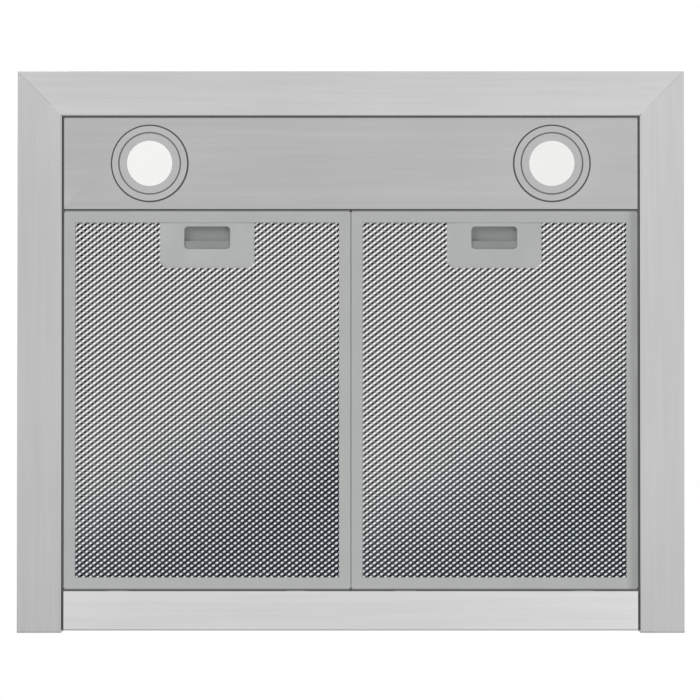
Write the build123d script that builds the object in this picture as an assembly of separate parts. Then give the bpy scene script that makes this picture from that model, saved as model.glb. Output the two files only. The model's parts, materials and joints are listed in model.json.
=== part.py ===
"""Range hood insert: a stainless trim and sheet-metal air chamber for a cabinet, with two lamps,
two swing-down mesh grease filters, and a double-inlet blower that discharges upwards through a
round collar with a two-leaf damper.

Millimetres. +Z is up as installed, and z = 0 is the underside of the trim. The front (lamp side)
is towards -Y, the wall side towards +Y. The origin is in the middle of the underside.
"""

import os
from math import cos, radians, sin, sqrt

from build123d import *

os.makedirs("parts", exist_ok=True)

# ------------------------------------------------------------------ driving dimensions: trim
WIDTH = 600.0  # overall, left to right
DEPTH = 505.0  # overall, front to rear
TRIM_FACE = 40.0  # visible width of the front and side trims
TRIM_HEIGHT = 18.0  # height of the trims' outer wall
TRIM_SHEET = 1.0
TRIM_RETURN = 14.0  # width of the return that the cabinet sits on
TRIM_LIP = 24.0  # height of the inner lip that the body fastens to
BEND = 1.6  # centre-line radius of a bend that shows
REAR_FACE = 35.4  # visible width of the rear strip
REAR_INSET = 2.0  # the rear strip stops this far short of the side trims' ends
REAR_RISE = 0.5  # underside of the rear strip above z = 0
GUSSET_ARM = 60.0
GUSSET_WIDTH = 24.0
GUSSET_INSET = 6.0  # gussets stay this far inside the trims' outer face
SEAM = 2.0  # shadow gap round the panel, filters and rear strip
MITRE_GAP = 0.12

# ------------------------------------------------------------------ driving dimensions: body
SHEET = 1.0
RECESS = 1.5  # underside of the lamp panel and filters above z = 0
BODY_TOP = 85.0  # underside of the top sheet
LEDGE = 12.0  # width of the body's inward lips
FRONT_LEDGE = 8.0
LEDGE_CLEAR = 0.5  # above the filters
LIP_CLEAR = 0.5  # between lips that meet in a corner
REAR_WALL_SETBACK = 16.0  # rear wall behind the rear strip's front edge
REAR_LEDGE_LEG = 14.0
REAR_LEDGE_REACH = 28.0
PANEL_DEPTH = 82.2  # of the lamp panel, front to rear
PANEL_UPSTAND = 14.0  # the lamp panel's rear upstand, above the filters
DIVIDER_FOOT = 1.5  # the divider's lower edge above the lamp panel's sheet

# ------------------------------------------------------------------ driving dimensions: lamps
LAMP_X = 181.0
BEZEL_R = 35.0
BEZEL_BORE_R = 27.2
BEZEL_DROP = 1.1  # bezel thickness, below the panel
PANEL_HOLE = 28.0  # half the side of the cut-out above a bezel
PANEL_HOLE_CORNER = 12.0
LAMP_CLEAR = 0.2
LAMP_SET_BACK = 0.3  # the can's rim above the bezel's face
LAMP_CAVITY = 6.0  # between the lens and the can's floor
LENS_R = 20.4
LENS_THICK = 1.6
LENS_LEGS = 3
LENS_LEG = 3.0
LENS_LEG_R = 17.5
BOARD_SIDE = 20.0
BOARD_THICK = 1.6
CHIP_SIDE = 9.0
CHIP_THICK = 0.8
SINK_BASE = 3.0
SINK_HEIGHT = 14.0
SINK_LENGTH = 36.0
SINK_FINS = 5
SINK_PITCH = 7.0
SINK_FIN_SHEET = 1.5
CLIP_SHEET = 0.5
CLIP_WIDTH = 10.0
CLIP_HEIGHT = 10.0
CLIP_REACH = 13.0

# ------------------------------------------------------------------ driving dimensions: filters
FILTER_SPLIT = 0.8  # gap between the two filters
FILTER_THICK = 10.0
FRAME_SHEET = 0.8
FRAME_FLANGE = 10.2
FRAME_CORNER = 1.2
MESH_SHEET = 0.6
MESH_CLEAR = 0.3
CORE_SHEET = 0.4
CORE_CLEAR = 0.1
CORRUGATIONS = 10
HANDLE_WIDTH = 85.0
HANDLE_LENGTH = 41.0  # behind the frame's flange
HANDLE_SHEET = 1.0
HANDLE_CORNER = 5.0
GUIDE_WALL = 1.2
GUIDE_LIP = 0.9
GUIDE_LIP_REACH = 2.0
WINDOW_WIDTH = 41.2
WINDOW_LENGTH = 20.2
WINDOW_SETBACK = 3.5  # window behind the flange's edge
WINDOW_CORNER_R = 3.6
LATCH_TRAVEL = 6.0
LATCH_CLEAR = 0.3
LATCH_SIDE = 2.5  # slider past the window's sides
LATCH_WALL = 1.2
GRIP_LENGTH = 7.4  # of the grip that shows in the window
BOLT_WIDTH = 14.0
BOLT_THICK = 3.0
BOLT_SHORT = 0.5  # the bolt's nose stops this short of the panel
BOLT_RISE = 3.5  # bolt above the filter's underside
BOLT_BEVEL = 1.5
BOLT_CLEAR = 0.5
LATCH_SLOT_SIDE = 2.0
LATCH_SLOT_CLEAR = 0.6
SPRING_SLACK = 4.0  # between the folded spring's length at rest and closed up by the travel
SPRING_WIDTH = 18.0
SPRING_SHEET = 0.4
SPRING_HEIGHT = 3.0
SPRING_FOLDS = 5
TAB_SPREAD = 160.0
TAB_WIDTH = 18.0
TAB_SHEET = 0.8
TAB_REACH = 8.0  # over the rear strip
TAB_LIFT = 0.3

# ------------------------------------------------------------------ driving dimensions: blower
BOX_HALF_X = 150.0  # inside
BOX_FRONT = 105.0  # inside, ahead of the origin
BOX_REAR = 155.0  # inside, behind the origin
BOX_HEIGHT = 199.0  # above the top sheet
BOX_FLANGE = 12.0
SHAFT_Y = 10.0
SHAFT_BELOW_TOP = 115.0
VOLUTE_STEP = 16.0  # the volute's radius grows by this each quarter turn
VOLUTE_START = 86.0  # height of the cut-off above the shaft
VOLUTE_WALL = 2.0
SCROLL_HALF = 80.0  # half the scroll's width, outside
SCROLL_LUG = 16.0  # square lugs where the halves meet
CUTOFF_R = 5.0
OUTLET_FLANGE = 8.0
INLET_R = 62.0
WHEEL_R = 80.0
WHEEL_HALF = 73.0
WHEEL_RING = 2.0
BLADES = 20
BLADE_DEPTH = 14.0
BLADE_SHEET = 1.2
BLADE_LEAD = 8.0  # degrees that a blade's tip leads its root
BLADE_BOW = 3.0
WEB_SHEET = 2.0
HUB_R = 12.0  # over the corners of its hexagon
HUB_HALF = 12.0
HUB_FIT = 0.05
SHAFT_R = 4.0
SHAFT_CLEAR = 0.08
SHAFT_END = 0.2  # between the shaft's end and the floor of the motor's bore
SHAFT_IN_MOTOR = 20.0
MOTOR_HALF = 36.0  # half the side of its square stack
MOTOR_CORNER = 14.0
MOTOR_LENGTH = 84.0
MOTOR_GAP = 2.0  # from the hub
BRACKET_ARM_SHEET = 2.0
BRACKET_ARM_WIDTH = 14.0
BRACKET_ARM_LEG = 16.0  # length of an arm's leg along the motor
BRACKET_OVERLAP = 12.0  # of an arm on the scroll
MOTOR_SEAT = 0.05  # between an arm and the motor
CAPACITOR_LENGTH = 40.0
CAPACITOR_DEPTH = 24.0
CAPACITOR_HEIGHT = 34.0
CAPACITOR_Y = -70.0

# ------------------------------------------------------------------ driving dimensions: outlet
COLLAR_R = 74.5  # outside, for a 150 mm duct
COLLAR_WALL = 2.5
COLLAR_HEIGHT = 50.0
COLLAR_PLATE = 82.0  # half the side of the square base plate
COLLAR_CORNER = 14.0
COLLAR_BASE = 2.5
STOP_Z = 10.0  # top of the flaps' stops above the collar's base
STOP_REACH = 2.5
STOP_SIDE = 6.0
FLAP_SHEET = 1.2
FLAP_CLEAR = 1.0
FLAP_REST = 0.3
PIN_R = 1.5
PIN_CLEAR = 0.1
KNUCKLE_HALF = 3.0
KNUCKLES = 3
KNUCKLE_GAP = 0.5

# ------------------------------------------------------------------ driving dimensions: fixings
BRACKET_LENGTH = 220.0
BRACKET_SHEET = 1.5
BRACKET_FOOT_Z = 34.0
BRACKET_FOOT = 16.0
BRACKET_REACH = 20.0
BRACKET_RISE = 30.0
BRACKET_HOLE_R = 2.75
BRACKET_HOLE_SPACING = 160.0
BRACKET_HOLE_DROP = 11.0  # below the bracket's top edge

# ------------------------------------------------------------------ driving dimensions: electrics
CONTROL_LENGTH = 140.0
CONTROL_HEIGHT = 34.0
CONTROL_MARGIN = 7.0  # from the top sheet's edge
CONTROL_GAP = 8.0  # from the blower box's flange
CONTROL_Y = 20.0
CONTROL_WALL = 2.0
CONTROL_CORNER = 3.0
LID_LIP = 4.0
LID_CLEAR = 0.2
BUSHING_WIDTH = 16.0  # the strain relief's body, through the control box's wall
BUSHING_HEIGHT = 10.0
BUSHING_RIM = 3.0
BUSHING_NOSE = 9.0
DRIVER_LENGTH = 110.0
DRIVER_DEPTH = 26.0
DRIVER_HEIGHT = 30.0
CASE_BELOW_TOP = 12.0  # the driver's and the capacitor's gap to the sheet above
CASE_EAR = 8.0
CASE_EAR_SHEET = 2.0

# ------------------------------------------------------------------ places worked out from them
HALF_W = WIDTH / 2
FRONT = -DEPTH / 2
REAR = DEPTH / 2
OPEN_X = HALF_W - TRIM_FACE  # the trims' inner edges
OPEN_FRONT = FRONT + TRIM_FACE
REAR_STRIP_END = REAR - REAR_INSET
REAR_STRIP = REAR_STRIP_END - REAR_FACE  # its front edge, where the filters hinge
FIT_X = OPEN_X - SEAM  # panel, filters and rear strip reach to here
PANEL_FRONT = OPEN_FRONT + SEAM
FILTER_REAR = REAR_STRIP - SEAM
PANEL_REAR = PANEL_FRONT + PANEL_DEPTH
FILTER_FRONT = PANEL_REAR + SEAM
FILTER_LENGTH = FILTER_REAR - FILTER_FRONT
LAMP_Y = (PANEL_FRONT + PANEL_REAR) / 2
LAMP_R = BEZEL_BORE_R - LAMP_CLEAR  # outside of the lamps' cans
LAMP_RIM = RECESS - BEZEL_DROP + LAMP_SET_BACK
LAMP_FLOOR = LAMP_RIM + LENS_THICK + LAMP_CAVITY
FILTER_TOP = RECESS + FILTER_THICK
LEDGE_Z = FILTER_TOP + LEDGE_CLEAR
UPSTAND_TOP = FILTER_TOP + PANEL_UPSTAND
BOLT_Z = RECESS + BOLT_RISE
FILTER_W = FIT_X - FILTER_SPLIT / 2
FILTER_X = FILTER_SPLIT / 2 + FILTER_W / 2
MESH_INSET = FRAME_SHEET + MESH_CLEAR  # meshes and core inside the filter's outline
FLANGE_EDGE = FILTER_FRONT + FRAME_FLANGE  # where the handle plate shows from
WINDOW_FRONT = FLANGE_EDGE + WINDOW_SETBACK
WINDOW_REAR = WINDOW_FRONT + WINDOW_LENGTH
HANDLE_LOW = RECESS + FRAME_SHEET
HANDLE_TOP = HANDLE_LOW + HANDLE_SHEET
GUIDE_TOP = FILTER_TOP - FRAME_SHEET - MESH_SHEET - CORE_CLEAR
LATCH_LOW = HANDLE_TOP + LATCH_CLEAR
LATCH_TOP = GUIDE_TOP - GUIDE_LIP - LATCH_CLEAR
LATCH_HALF = WINDOW_WIDTH / 2 + LATCH_SIDE
LATCH_REAR = WINDOW_REAR + LATCH_WALL
SPRING_LENGTH = LATCH_TRAVEL + SPRING_SLACK
SPRING_SEAT = LATCH_REAR + SPRING_LENGTH
BODY_X = OPEN_X  # outside of the side walls
BODY_REAR = REAR_STRIP + REAR_WALL_SETBACK  # front face of the rear wall
LIPS_X = BODY_X - SHEET - LEDGE - LIP_CLEAR  # lips across the hood reach to here
STRIP_TOP = REAR_RISE + TRIM_SHEET
TOP_FACE = BODY_TOP + SHEET
BOX_TOP = TOP_FACE + BOX_HEIGHT
BOX_OUT_X = BOX_HALF_X + SHEET + BOX_FLANGE
CONTROL_WIDTH = BODY_X - CONTROL_MARGIN - BOX_OUT_X - CONTROL_GAP
COLLAR_Z = BOX_TOP + SHEET
SHAFT_Z = BOX_TOP - SHAFT_BELOW_TOP
HALF_STEP = VOLUTE_STEP / 2
VOLUTE_R = [VOLUTE_START + HALF_STEP + VOLUTE_STEP * i for i in range(3)]  # its three arcs
OUTLET_FRONT = SHAFT_Y - HALF_STEP
OUTLET_REAR = SHAFT_Y + VOLUTE_R[-1] + HALF_STEP
COLLAR_Y = (OUTLET_FRONT + OUTLET_REAR) / 2
COLLAR_BORE_R = COLLAR_R - COLLAR_WALL
FLAP_R = COLLAR_BORE_R - FLAP_CLEAR
KNUCKLE_REACH = KNUCKLE_HALF * sqrt(2) + KNUCKLE_GAP  # clear of a turning knuckle
STOP_TOP = COLLAR_Z + COLLAR_BASE + STOP_Z
FLAP_Z = STOP_TOP + FLAP_REST  # underside of the closed flaps
PIN_Z = FLAP_Z + KNUCKLE_HALF


# ------------------------------------------------------------------ helpers
def block(x0, x1, y0, y1, z0, z1):
    """A box between two corners."""
    middle = Pos((x0 + x1) / 2, (y0 + y1) / 2, (z0 + z1) / 2)
    return middle * Box(abs(x1 - x0), abs(y1 - y0), abs(z1 - z0))


def rod(radius, start, end):
    """A round bar from one point to another, along X, Y or Z."""
    start, end = Vector(start), Vector(end)
    plane = Plane(origin=start, z_dir=end - start)
    return extrude(plane * Circle(radius), (end - start).length)


def strip_profile(points, sheet, bend):
    """The section of a folded strip whose centre line runs through the points."""
    line = FilletPolyline(*points, radius=bend) if bend else Polyline(*points)
    return trace(line, line_width=sheet)


def folded_along_x(points, sheet, x0, x1, bend=0):
    """A folded strip with its section in YZ, from x0 to x1."""
    return extrude(Plane.YZ.offset(x0) * strip_profile(points, sheet, bend), x1 - x0)


def folded_along_y(points, sheet, y0, y1, bend=0):
    """A folded strip with its section in XZ, from y0 to y1."""
    return extrude(Plane.XZ.offset(-y0) * strip_profile(points, sheet, bend), y0 - y1)


def plan(points, z0, z1):
    """An upright prism on a polygon."""
    return extrude(Pos(0, 0, z0) * make_face(Polyline(*points, close=True)), z1 - z0)


def cut_square(half, corner):
    """A square about the origin with its corners cut off."""
    short = half - corner
    return make_face(Polyline((-half, -short), (-short, -half), (short, -half), (half, -short), (half, short),
                              (short, half), (-short, half), (-half, short), close=True))


def cut_block(x0, x1, y0, y1, z0, z1, corner):
    """A box between two corners, with its upright edges cut off."""
    return chamfer(block(x0, x1, y0, y1, z0, z1).edges().filter_by(Axis.Z), corner)


def eared_case(length, depth, height):
    """A moulded case with two fixing ears; its back is on the XZ plane and it faces -Y."""
    half = length / 2
    case = chamfer(block(-half, half, -depth, 0, 0, height).edges().group_by(Axis.Y)[0], CASE_EAR_SHEET)
    return case + block(-half - CASE_EAR, half + CASE_EAR, -CASE_EAR_SHEET, 0, 0, CASE_EAR)


def row(count, pitch):
    """Evenly spaced stations about the middle."""
    return [pitch * (i - (count - 1) / 2) for i in range(count)]


def mirrored(shape):
    """The left-hand shape turned into the right-hand one."""
    return mirror(shape, about=Plane.YZ)


def save(shape, node):
    """Writes one sub-part, as plain solids."""
    solids = shape.solids()
    whole = solids[0] if len(solids) == 1 else Compound(children=list(solids))
    export_step(whole, f"parts/{node}.step")


# ------------------------------------------------------------------ trim
def side_trim():
    """The left trim: a folded channel with a lip inside and a return on top."""
    half = TRIM_SHEET / 2
    lip, wall = -OPEN_X - half, -HALF_W + half
    points = [(lip, TRIM_LIP), (lip, half), (wall, half), (wall, TRIM_HEIGHT - half),
              (-HALF_W + TRIM_RETURN, TRIM_HEIGHT - half)]
    gap = MITRE_GAP / 2
    outline = [(-HALF_W, FRONT + gap), (-OPEN_X, OPEN_FRONT + gap), (-OPEN_X, REAR), (-HALF_W, REAR)]
    return folded_along_y(points, TRIM_SHEET, FRONT, REAR, BEND) & plan(outline, 0, TRIM_LIP)


def front_trim():
    """The front trim: the same channel, mitred at both ends."""
    half = TRIM_SHEET / 2
    lip, wall = OPEN_FRONT - half, FRONT + half
    points = [(lip, TRIM_LIP), (lip, half), (wall, half), (wall, TRIM_HEIGHT - half),
              (FRONT + TRIM_RETURN, TRIM_HEIGHT - half)]
    outer, inner = HALF_W - MITRE_GAP / 2, OPEN_X - MITRE_GAP / 2
    outline = [(-outer, FRONT), (outer, FRONT), (inner, OPEN_FRONT), (-inner, OPEN_FRONT)]
    return folded_along_x(points, TRIM_SHEET, -HALF_W, HALF_W, BEND) & plan(outline, 0, TRIM_LIP)


def rear_trim():
    """The rear strip: set between the side trims, with an upstand and a return at the rear."""
    half = TRIM_SHEET / 2
    low, wall = REAR_RISE + half, REAR_STRIP_END - half
    points = [(REAR_STRIP, low), (wall, low), (wall, TRIM_HEIGHT - half),
              (REAR_STRIP_END - TRIM_RETURN, TRIM_HEIGHT - half)]
    return folded_along_x(points, TRIM_SHEET, -FIT_X, FIT_X, BEND)


def corner_gusset():
    """The left front corner's plate, on top of both trims' faces."""
    x, y = -HALF_W + GUSSET_INSET, FRONT + GUSSET_INSET
    outline = [(x, y), (x + GUSSET_ARM, y), (x + GUSSET_ARM, y + GUSSET_WIDTH),
               (x + GUSSET_WIDTH, y + GUSSET_WIDTH), (x + GUSSET_WIDTH, y + GUSSET_ARM),
               (x, y + GUSSET_ARM)]
    return plan(outline, TRIM_SHEET, 2 * TRIM_SHEET)


def make_trim():
    """The visible frame round the opening."""
    left = side_trim()
    save(left, "trim_left")
    save(mirrored(left), "trim_right")
    save(front_trim(), "trim_front")
    save(rear_trim(), "trim_rear")
    gusset = corner_gusset()
    save(Compound(children=[gusset, mirrored(gusset)]), "corner_gussets")


# ------------------------------------------------------------------ body
def side_wall():
    """The left wall, with a ledge over the filter and a flange under the top sheet."""
    half = SHEET / 2
    wall, reach = -BODY_X + half, -BODY_X + SHEET + LEDGE
    points = [(reach, LEDGE_Z + half), (wall, LEDGE_Z + half), (wall, BODY_TOP - half),
              (reach, BODY_TOP - half)]
    return folded_along_y(points, SHEET, OPEN_FRONT + SHEET, BODY_REAR)


def front_wall():
    """The front wall: its lips stop short of the side walls' lips."""
    half = SHEET / 2
    wall, reach = OPEN_FRONT + half, OPEN_FRONT + SHEET + FRONT_LEDGE
    points = [(reach, LEDGE_Z + half), (wall, LEDGE_Z + half), (wall, BODY_TOP - half),
              (reach, BODY_TOP - half)]
    middle = folded_along_x(points, SHEET, -LIPS_X, LIPS_X)
    return middle + block(-BODY_X, BODY_X, OPEN_FRONT, OPEN_FRONT + SHEET, LEDGE_Z, BODY_TOP)


def rear_wall():
    """The rear wall: it stands on the rear strip and turns back at the foot."""
    half = SHEET / 2
    wall, foot = BODY_REAR + half, STRIP_TOP + half
    points = [(BODY_REAR + SHEET + LEDGE, foot), (wall, foot), (wall, BODY_TOP)]
    upright = folded_along_x(points, SHEET, -FIT_X, FIT_X)
    wide = block(-BODY_X, BODY_X, BODY_REAR, BODY_REAR + SHEET, TRIM_LIP, BODY_TOP)
    flange = block(-LIPS_X, LIPS_X, BODY_REAR - LEDGE, BODY_REAR, BODY_TOP - SHEET, BODY_TOP)
    return upright + wide + flange


def divider_wall():
    """The sheet between the lamp compartment and the air chamber."""
    rear = PANEL_REAR - SHEET
    half, foot = SHEET / 2, RECESS + SHEET + DIVIDER_FOOT
    points = [(rear - half, foot), (rear - half, BODY_TOP - half),
              (rear - SHEET - LEDGE, BODY_TOP - half)]
    middle = folded_along_x(points, SHEET, -LIPS_X, LIPS_X)
    side = BODY_X - SHEET
    ends = block(-side, side, rear - SHEET, rear, LEDGE_Z + SHEET, BODY_TOP - SHEET)
    return middle + ends - latch_slots()


def latch_slots():
    """Both filters' bolts point at these slots in the lamp panel and the divider."""
    half = BOLT_WIDTH / 2 + LATCH_SLOT_SIDE
    slot = block(-half, half, PANEL_REAR - 3 * SHEET, PANEL_REAR + SHEET,
                 BOLT_Z - LATCH_SLOT_CLEAR, BOLT_Z + BOLT_THICK + LATCH_SLOT_CLEAR)
    return Pos(-FILTER_X) * slot + Pos(FILTER_X) * slot


def rear_ledge():
    """The angle over the filters' rear edge."""
    half = SHEET / 2
    points = [(BODY_REAR - REAR_LEDGE_REACH, LEDGE_Z + half), (BODY_REAR - half, LEDGE_Z + half),
              (BODY_REAR - half, LEDGE_Z + REAR_LEDGE_LEG)]
    return folded_along_x(points, SHEET, -LIPS_X, LIPS_X)


def body_top():
    """The top sheet, open under the blower."""
    sheet = block(-BODY_X, BODY_X, OPEN_FRONT, BODY_REAR + SHEET, BODY_TOP, TOP_FACE)
    return sheet - block(-BOX_HALF_X, BOX_HALF_X, -BOX_FRONT, BOX_REAR, BODY_TOP, TOP_FACE)


def light_panel():
    """The lamp panel: a folded tray with cut-outs over the bezels and an upstand at the filters."""
    half = SHEET / 2
    front, rear = PANEL_FRONT + half, PANEL_REAR - half
    points = [(front, LEDGE_Z), (front, RECESS + half), (rear, RECESS + half), (rear, UPSTAND_TOP)]
    panel = folded_along_x(points, SHEET, -FIT_X, FIT_X, BEND)
    flange = block(-FIT_X, -FIT_X + SHEET, PANEL_FRONT + BEND, PANEL_REAR - BEND, RECESS, LEDGE_Z)
    corner = block(-WIDTH, -LIPS_X, FRONT, PANEL_REAR, LEDGE_Z, UPSTAND_TOP)
    panel += flange + mirrored(flange)
    panel -= corner + mirrored(corner)
    hole = extrude(Pos(0, LAMP_Y, RECESS) * cut_square(PANEL_HOLE, PANEL_HOLE_CORNER), SHEET)
    return panel - latch_slots() - Pos(-LAMP_X) * hole - Pos(LAMP_X) * hole


def make_body():
    """The air chamber's sheet metal."""
    left = side_wall()
    save(left, "body_left")
    save(mirrored(left), "body_right")
    save(front_wall(), "body_front")
    save(rear_wall(), "body_rear")
    save(divider_wall(), "divider_wall")
    save(rear_ledge(), "rear_ledge")
    save(body_top(), "body_top")
    save(light_panel(), "light_panel")


# ------------------------------------------------------------------ lamps, each about its own axis
def lamp_bezel():
    """The flat ring under the panel."""
    return extrude(Pos(0, 0, RECESS - BEZEL_DROP) * (Circle(BEZEL_R) - Circle(BEZEL_BORE_R)), BEZEL_DROP)


def lamp_body():
    """The can that holds the lens and the board, with a finned heat sink."""
    base = LAMP_FLOOR + SINK_BASE
    can = rod(LAMP_R, (0, 0, LAMP_RIM), (0, 0, base))
    can -= rod(LENS_R + LAMP_CLEAR / 2, (0, 0, LAMP_RIM), (0, 0, LAMP_FLOOR))
    fin = Pos(0, 0, base + SINK_HEIGHT / 2) * Box(SINK_FIN_SHEET, SINK_LENGTH, SINK_HEIGHT)
    return can + [Pos(x) * fin for x in row(SINK_FINS, SINK_PITCH)]


def lamp_lens():
    """The frosted disc, on legs that stand on the can's floor."""
    top = LAMP_RIM + LENS_THICK
    lens = rod(LENS_R, (0, 0, LAMP_RIM), (0, 0, top))
    leg = Pos(LENS_LEG_R, 0, (top + LAMP_FLOOR) / 2) * Box(LENS_LEG, LENS_LEG, LAMP_FLOOR - top)
    return lens + [Rot(0, 0, 360 / LENS_LEGS * i) * leg for i in range(LENS_LEGS)]


def lamp_board():
    """The square board on the can's floor, with its light source."""
    board = Pos(0, 0, LAMP_FLOOR - BOARD_THICK / 2) * Box(BOARD_SIDE, BOARD_SIDE, BOARD_THICK)
    return board + Pos(0, 0, LAMP_FLOOR - BOARD_THICK - CHIP_THICK / 2) * Box(CHIP_SIDE, CHIP_SIDE, CHIP_THICK)


def lamp_clips():
    """Two leaf springs from the can down to the panel."""
    half, panel = CLIP_SHEET / 2, RECESS + SHEET
    points = [(LAMP_R + half, panel + CLIP_SHEET), (LAMP_R + half, RECESS + CLIP_HEIGHT),
              (LAMP_R + CLIP_REACH, panel + half + LAMP_CLEAR)]
    clip = folded_along_y(points, CLIP_SHEET, -CLIP_WIDTH / 2, CLIP_WIDTH / 2)
    return clip + Rot(0, 0, 180) * clip


def make_lamps():
    """Two lamps in the lamp panel: each node holds a left and a right piece."""
    pieces = {"lamp_bezels": lamp_bezel(), "lamp_bodies": lamp_body(), "lamp_lenses": lamp_lens(),
              "lamp_boards": lamp_board(), "lamp_clips": lamp_clips()}
    for name, piece in pieces.items():
        save(Compound(children=[Pos(x, LAMP_Y) * piece for x in (-LAMP_X, LAMP_X)]), name)


# ------------------------------------------------------------------ electrics
def led_driver():
    """The lamps' supply, on the divider's front face."""
    low = BODY_TOP - CASE_BELOW_TOP - DRIVER_HEIGHT
    return Pos(0, PANEL_REAR - 2 * SHEET, low) * eared_case(DRIVER_LENGTH, DRIVER_DEPTH, DRIVER_HEIGHT)


def control_box_frame():
    """Left, right, front, rear, bottom and top of the control box."""
    left = -BODY_X + CONTROL_MARGIN
    return (left, left + CONTROL_WIDTH, CONTROL_Y - CONTROL_LENGTH / 2,
            CONTROL_Y + CONTROL_LENGTH / 2, TOP_FACE, TOP_FACE + CONTROL_HEIGHT)


def control_box():
    """The moulded box for the fan's control, on the top sheet."""
    x0, x1, y0, y1, z0, z1 = control_box_frame()
    wall = CONTROL_WALL
    outer = cut_block(x0, x1, y0, y1, z0, z1, CONTROL_CORNER)
    inner = block(x0 + wall, x1 - wall, y0 + wall, y1 - wall, z0 + wall, z1)
    return outer - inner - bushing_prism(LID_CLEAR, -2 * wall, wall)


def control_box_lid():
    """The lid, located by a lip inside the box."""
    x0, x1, y0, y1, _, z1 = control_box_frame()
    wall, gap = CONTROL_WALL, CONTROL_WALL + LID_CLEAR
    low = z1 - LID_LIP
    plate = cut_block(x0, x1, y0, y1, z1, z1 + wall, CONTROL_CORNER)
    plate += block(x0 + gap, x1 - gap, y0 + gap, y1 - gap, low, z1)
    gap += wall
    return plate - block(x0 + gap, x1 - gap, y0 + gap, y1 - gap, low, z1)


def bushing_prism(grow, start, end):
    """The strain relief's outline at the box's rear wall, widened, from start to end behind it."""
    x0, x1, _, y1, z0, z1 = control_box_frame()
    x, z = (x0 + x1) / 2, (z0 + z1) / 2
    half_x, half_z = BUSHING_WIDTH / 2 + grow, BUSHING_HEIGHT / 2 + grow
    return block(x - half_x, x + half_x, y1 + start, y1 + end, z - half_z, z + half_z)


def strain_relief():
    """The snap-in bushing in the box's rear wall, closed while no cord is in it."""
    rim, wall = BUSHING_RIM, CONTROL_WALL
    body = bushing_prism(0, -wall - LID_CLEAR, 0) + bushing_prism(rim, 0, rim)
    nose = bushing_prism(0, rim, BUSHING_NOSE)
    nose = chamfer(nose.faces().sort_by(Axis.Y)[-1].edges(), wall)
    return body + nose + bushing_prism(wall / 2, -wall - rim, -wall - LID_CLEAR)


def make_electrics():
    """The lamps' driver and the fan's control box."""
    save(led_driver(), "led_driver")
    save(control_box(), "control_box")
    save(control_box_lid(), "control_box_lid")
    save(strain_relief(), "strain_relief")


# ------------------------------------------------------------------ blower
def blower_box():
    """The sheet box over the body, with a flange on the top sheet."""
    x, y0, y1 = BOX_HALF_X, -BOX_FRONT, BOX_REAR
    outer = block(-x - SHEET, x + SHEET, y0 - SHEET, y1 + SHEET, TOP_FACE, BOX_TOP)
    reach = SHEET + BOX_FLANGE
    flange = block(-x - reach, x + reach, y0 - reach, y1 + reach, TOP_FACE, TOP_FACE + SHEET)
    return outer + flange - block(-x, x, y0, y1, TOP_FACE, BOX_TOP)


def blower_box_top():
    """The box's lid: a skirt outside the walls and the outlet's hole under the collar's base."""
    x, y0, y1 = BOX_HALF_X + SHEET, -BOX_FRONT - SHEET, BOX_REAR + SHEET
    low = BOX_TOP - BOX_FLANGE
    outer = block(-x - SHEET, x + SHEET, y0 - SHEET, y1 + SHEET, low, COLLAR_Z)
    hole = extrude(Pos(0, COLLAR_Y, BOX_TOP) * cut_square(COLLAR_R, COLLAR_CORNER), SHEET)
    return outer - block(-x, x, y0, y1, low, BOX_TOP) - hole


def volute_face(grow):
    """The scroll's air space in YZ about the shaft, widened by a wall."""
    h, up = HALF_STEP, SHAFT_BELOW_TOP
    first, second, third = VOLUTE_R
    rear = third + h
    outline = [
        Line((-h, up), (-h, VOLUTE_START)),
        CenterArc((-h, -h), first, 90, 90),
        CenterArc((h, -h), second, 180, 90),
        CenterArc((h, h), third, 270, 90),
        Line((rear, h), (rear, up)),
        Line((rear, up), (-h, up))]
    face = make_face(Wire(outline))
    corner = face.vertices().sort_by_distance((-h, VOLUTE_START, 0))[0]
    face = fillet(corner, CUTOFF_R)
    if grow:
        face = offset(face, grow) & Pos((rear - h) / 2, up / 2 - rear) * Rectangle(4 * rear, up + 2 * rear)
    return face


def scroll_lugs():
    """Squares on the scroll's wall, at its front, its foot and its rear."""
    h = HALF_STEP
    first, second, third = VOLUTE_R
    places = [(-h - first, -h), (h, -h - second), (h + third, h)]
    return Sketch() + [Pos(y, z) * Rectangle(SCROLL_LUG, SCROLL_LUG) for y, z in places]


def scroll_half():
    """The left half of the scroll: wall, end plate with the inlet, seam lugs and outlet flange."""
    plane = Plane.YZ.offset(-SCROLL_HALF) * Pos(SHAFT_Y, SHAFT_Z)
    seam = Plane.YZ.offset(-VOLUTE_WALL) * Pos(SHAFT_Y, SHAFT_Z)
    air = volute_face(0)
    shell = extrude(plane * volute_face(VOLUTE_WALL), SCROLL_HALF)
    shell += extrude(seam * scroll_lugs(), VOLUTE_WALL)
    reach = VOLUTE_WALL + OUTLET_FLANGE
    shell += block(-SCROLL_HALF - OUTLET_FLANGE, 0, OUTLET_FRONT - reach, OUTLET_REAR + reach,
                   BOX_TOP - VOLUTE_WALL, BOX_TOP)
    shell -= extrude(plane * Pos(0, 0, VOLUTE_WALL) * air, SCROLL_HALF)
    axis = (SHAFT_Y, SHAFT_Z)
    return shell - rod(INLET_R, (-SCROLL_HALF, *axis), (-SCROLL_HALF + VOLUTE_WALL, *axis))


def blade_face():
    """One forward-curved blade, folded once between its root and its tip."""
    root, lead = WHEEL_R - BLADE_DEPTH, radians(BLADE_LEAD)
    tip = WHEEL_R - BLADE_SHEET
    start, end = Vector(root, 0), Vector(tip * cos(lead), tip * sin(lead))
    across = (end - start).normalized().rotate(Axis.Z, -90)
    middle = (start + end) / 2 + across * BLADE_BOW
    return trace(Polyline(start, middle, end), line_width=BLADE_SHEET)


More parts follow.
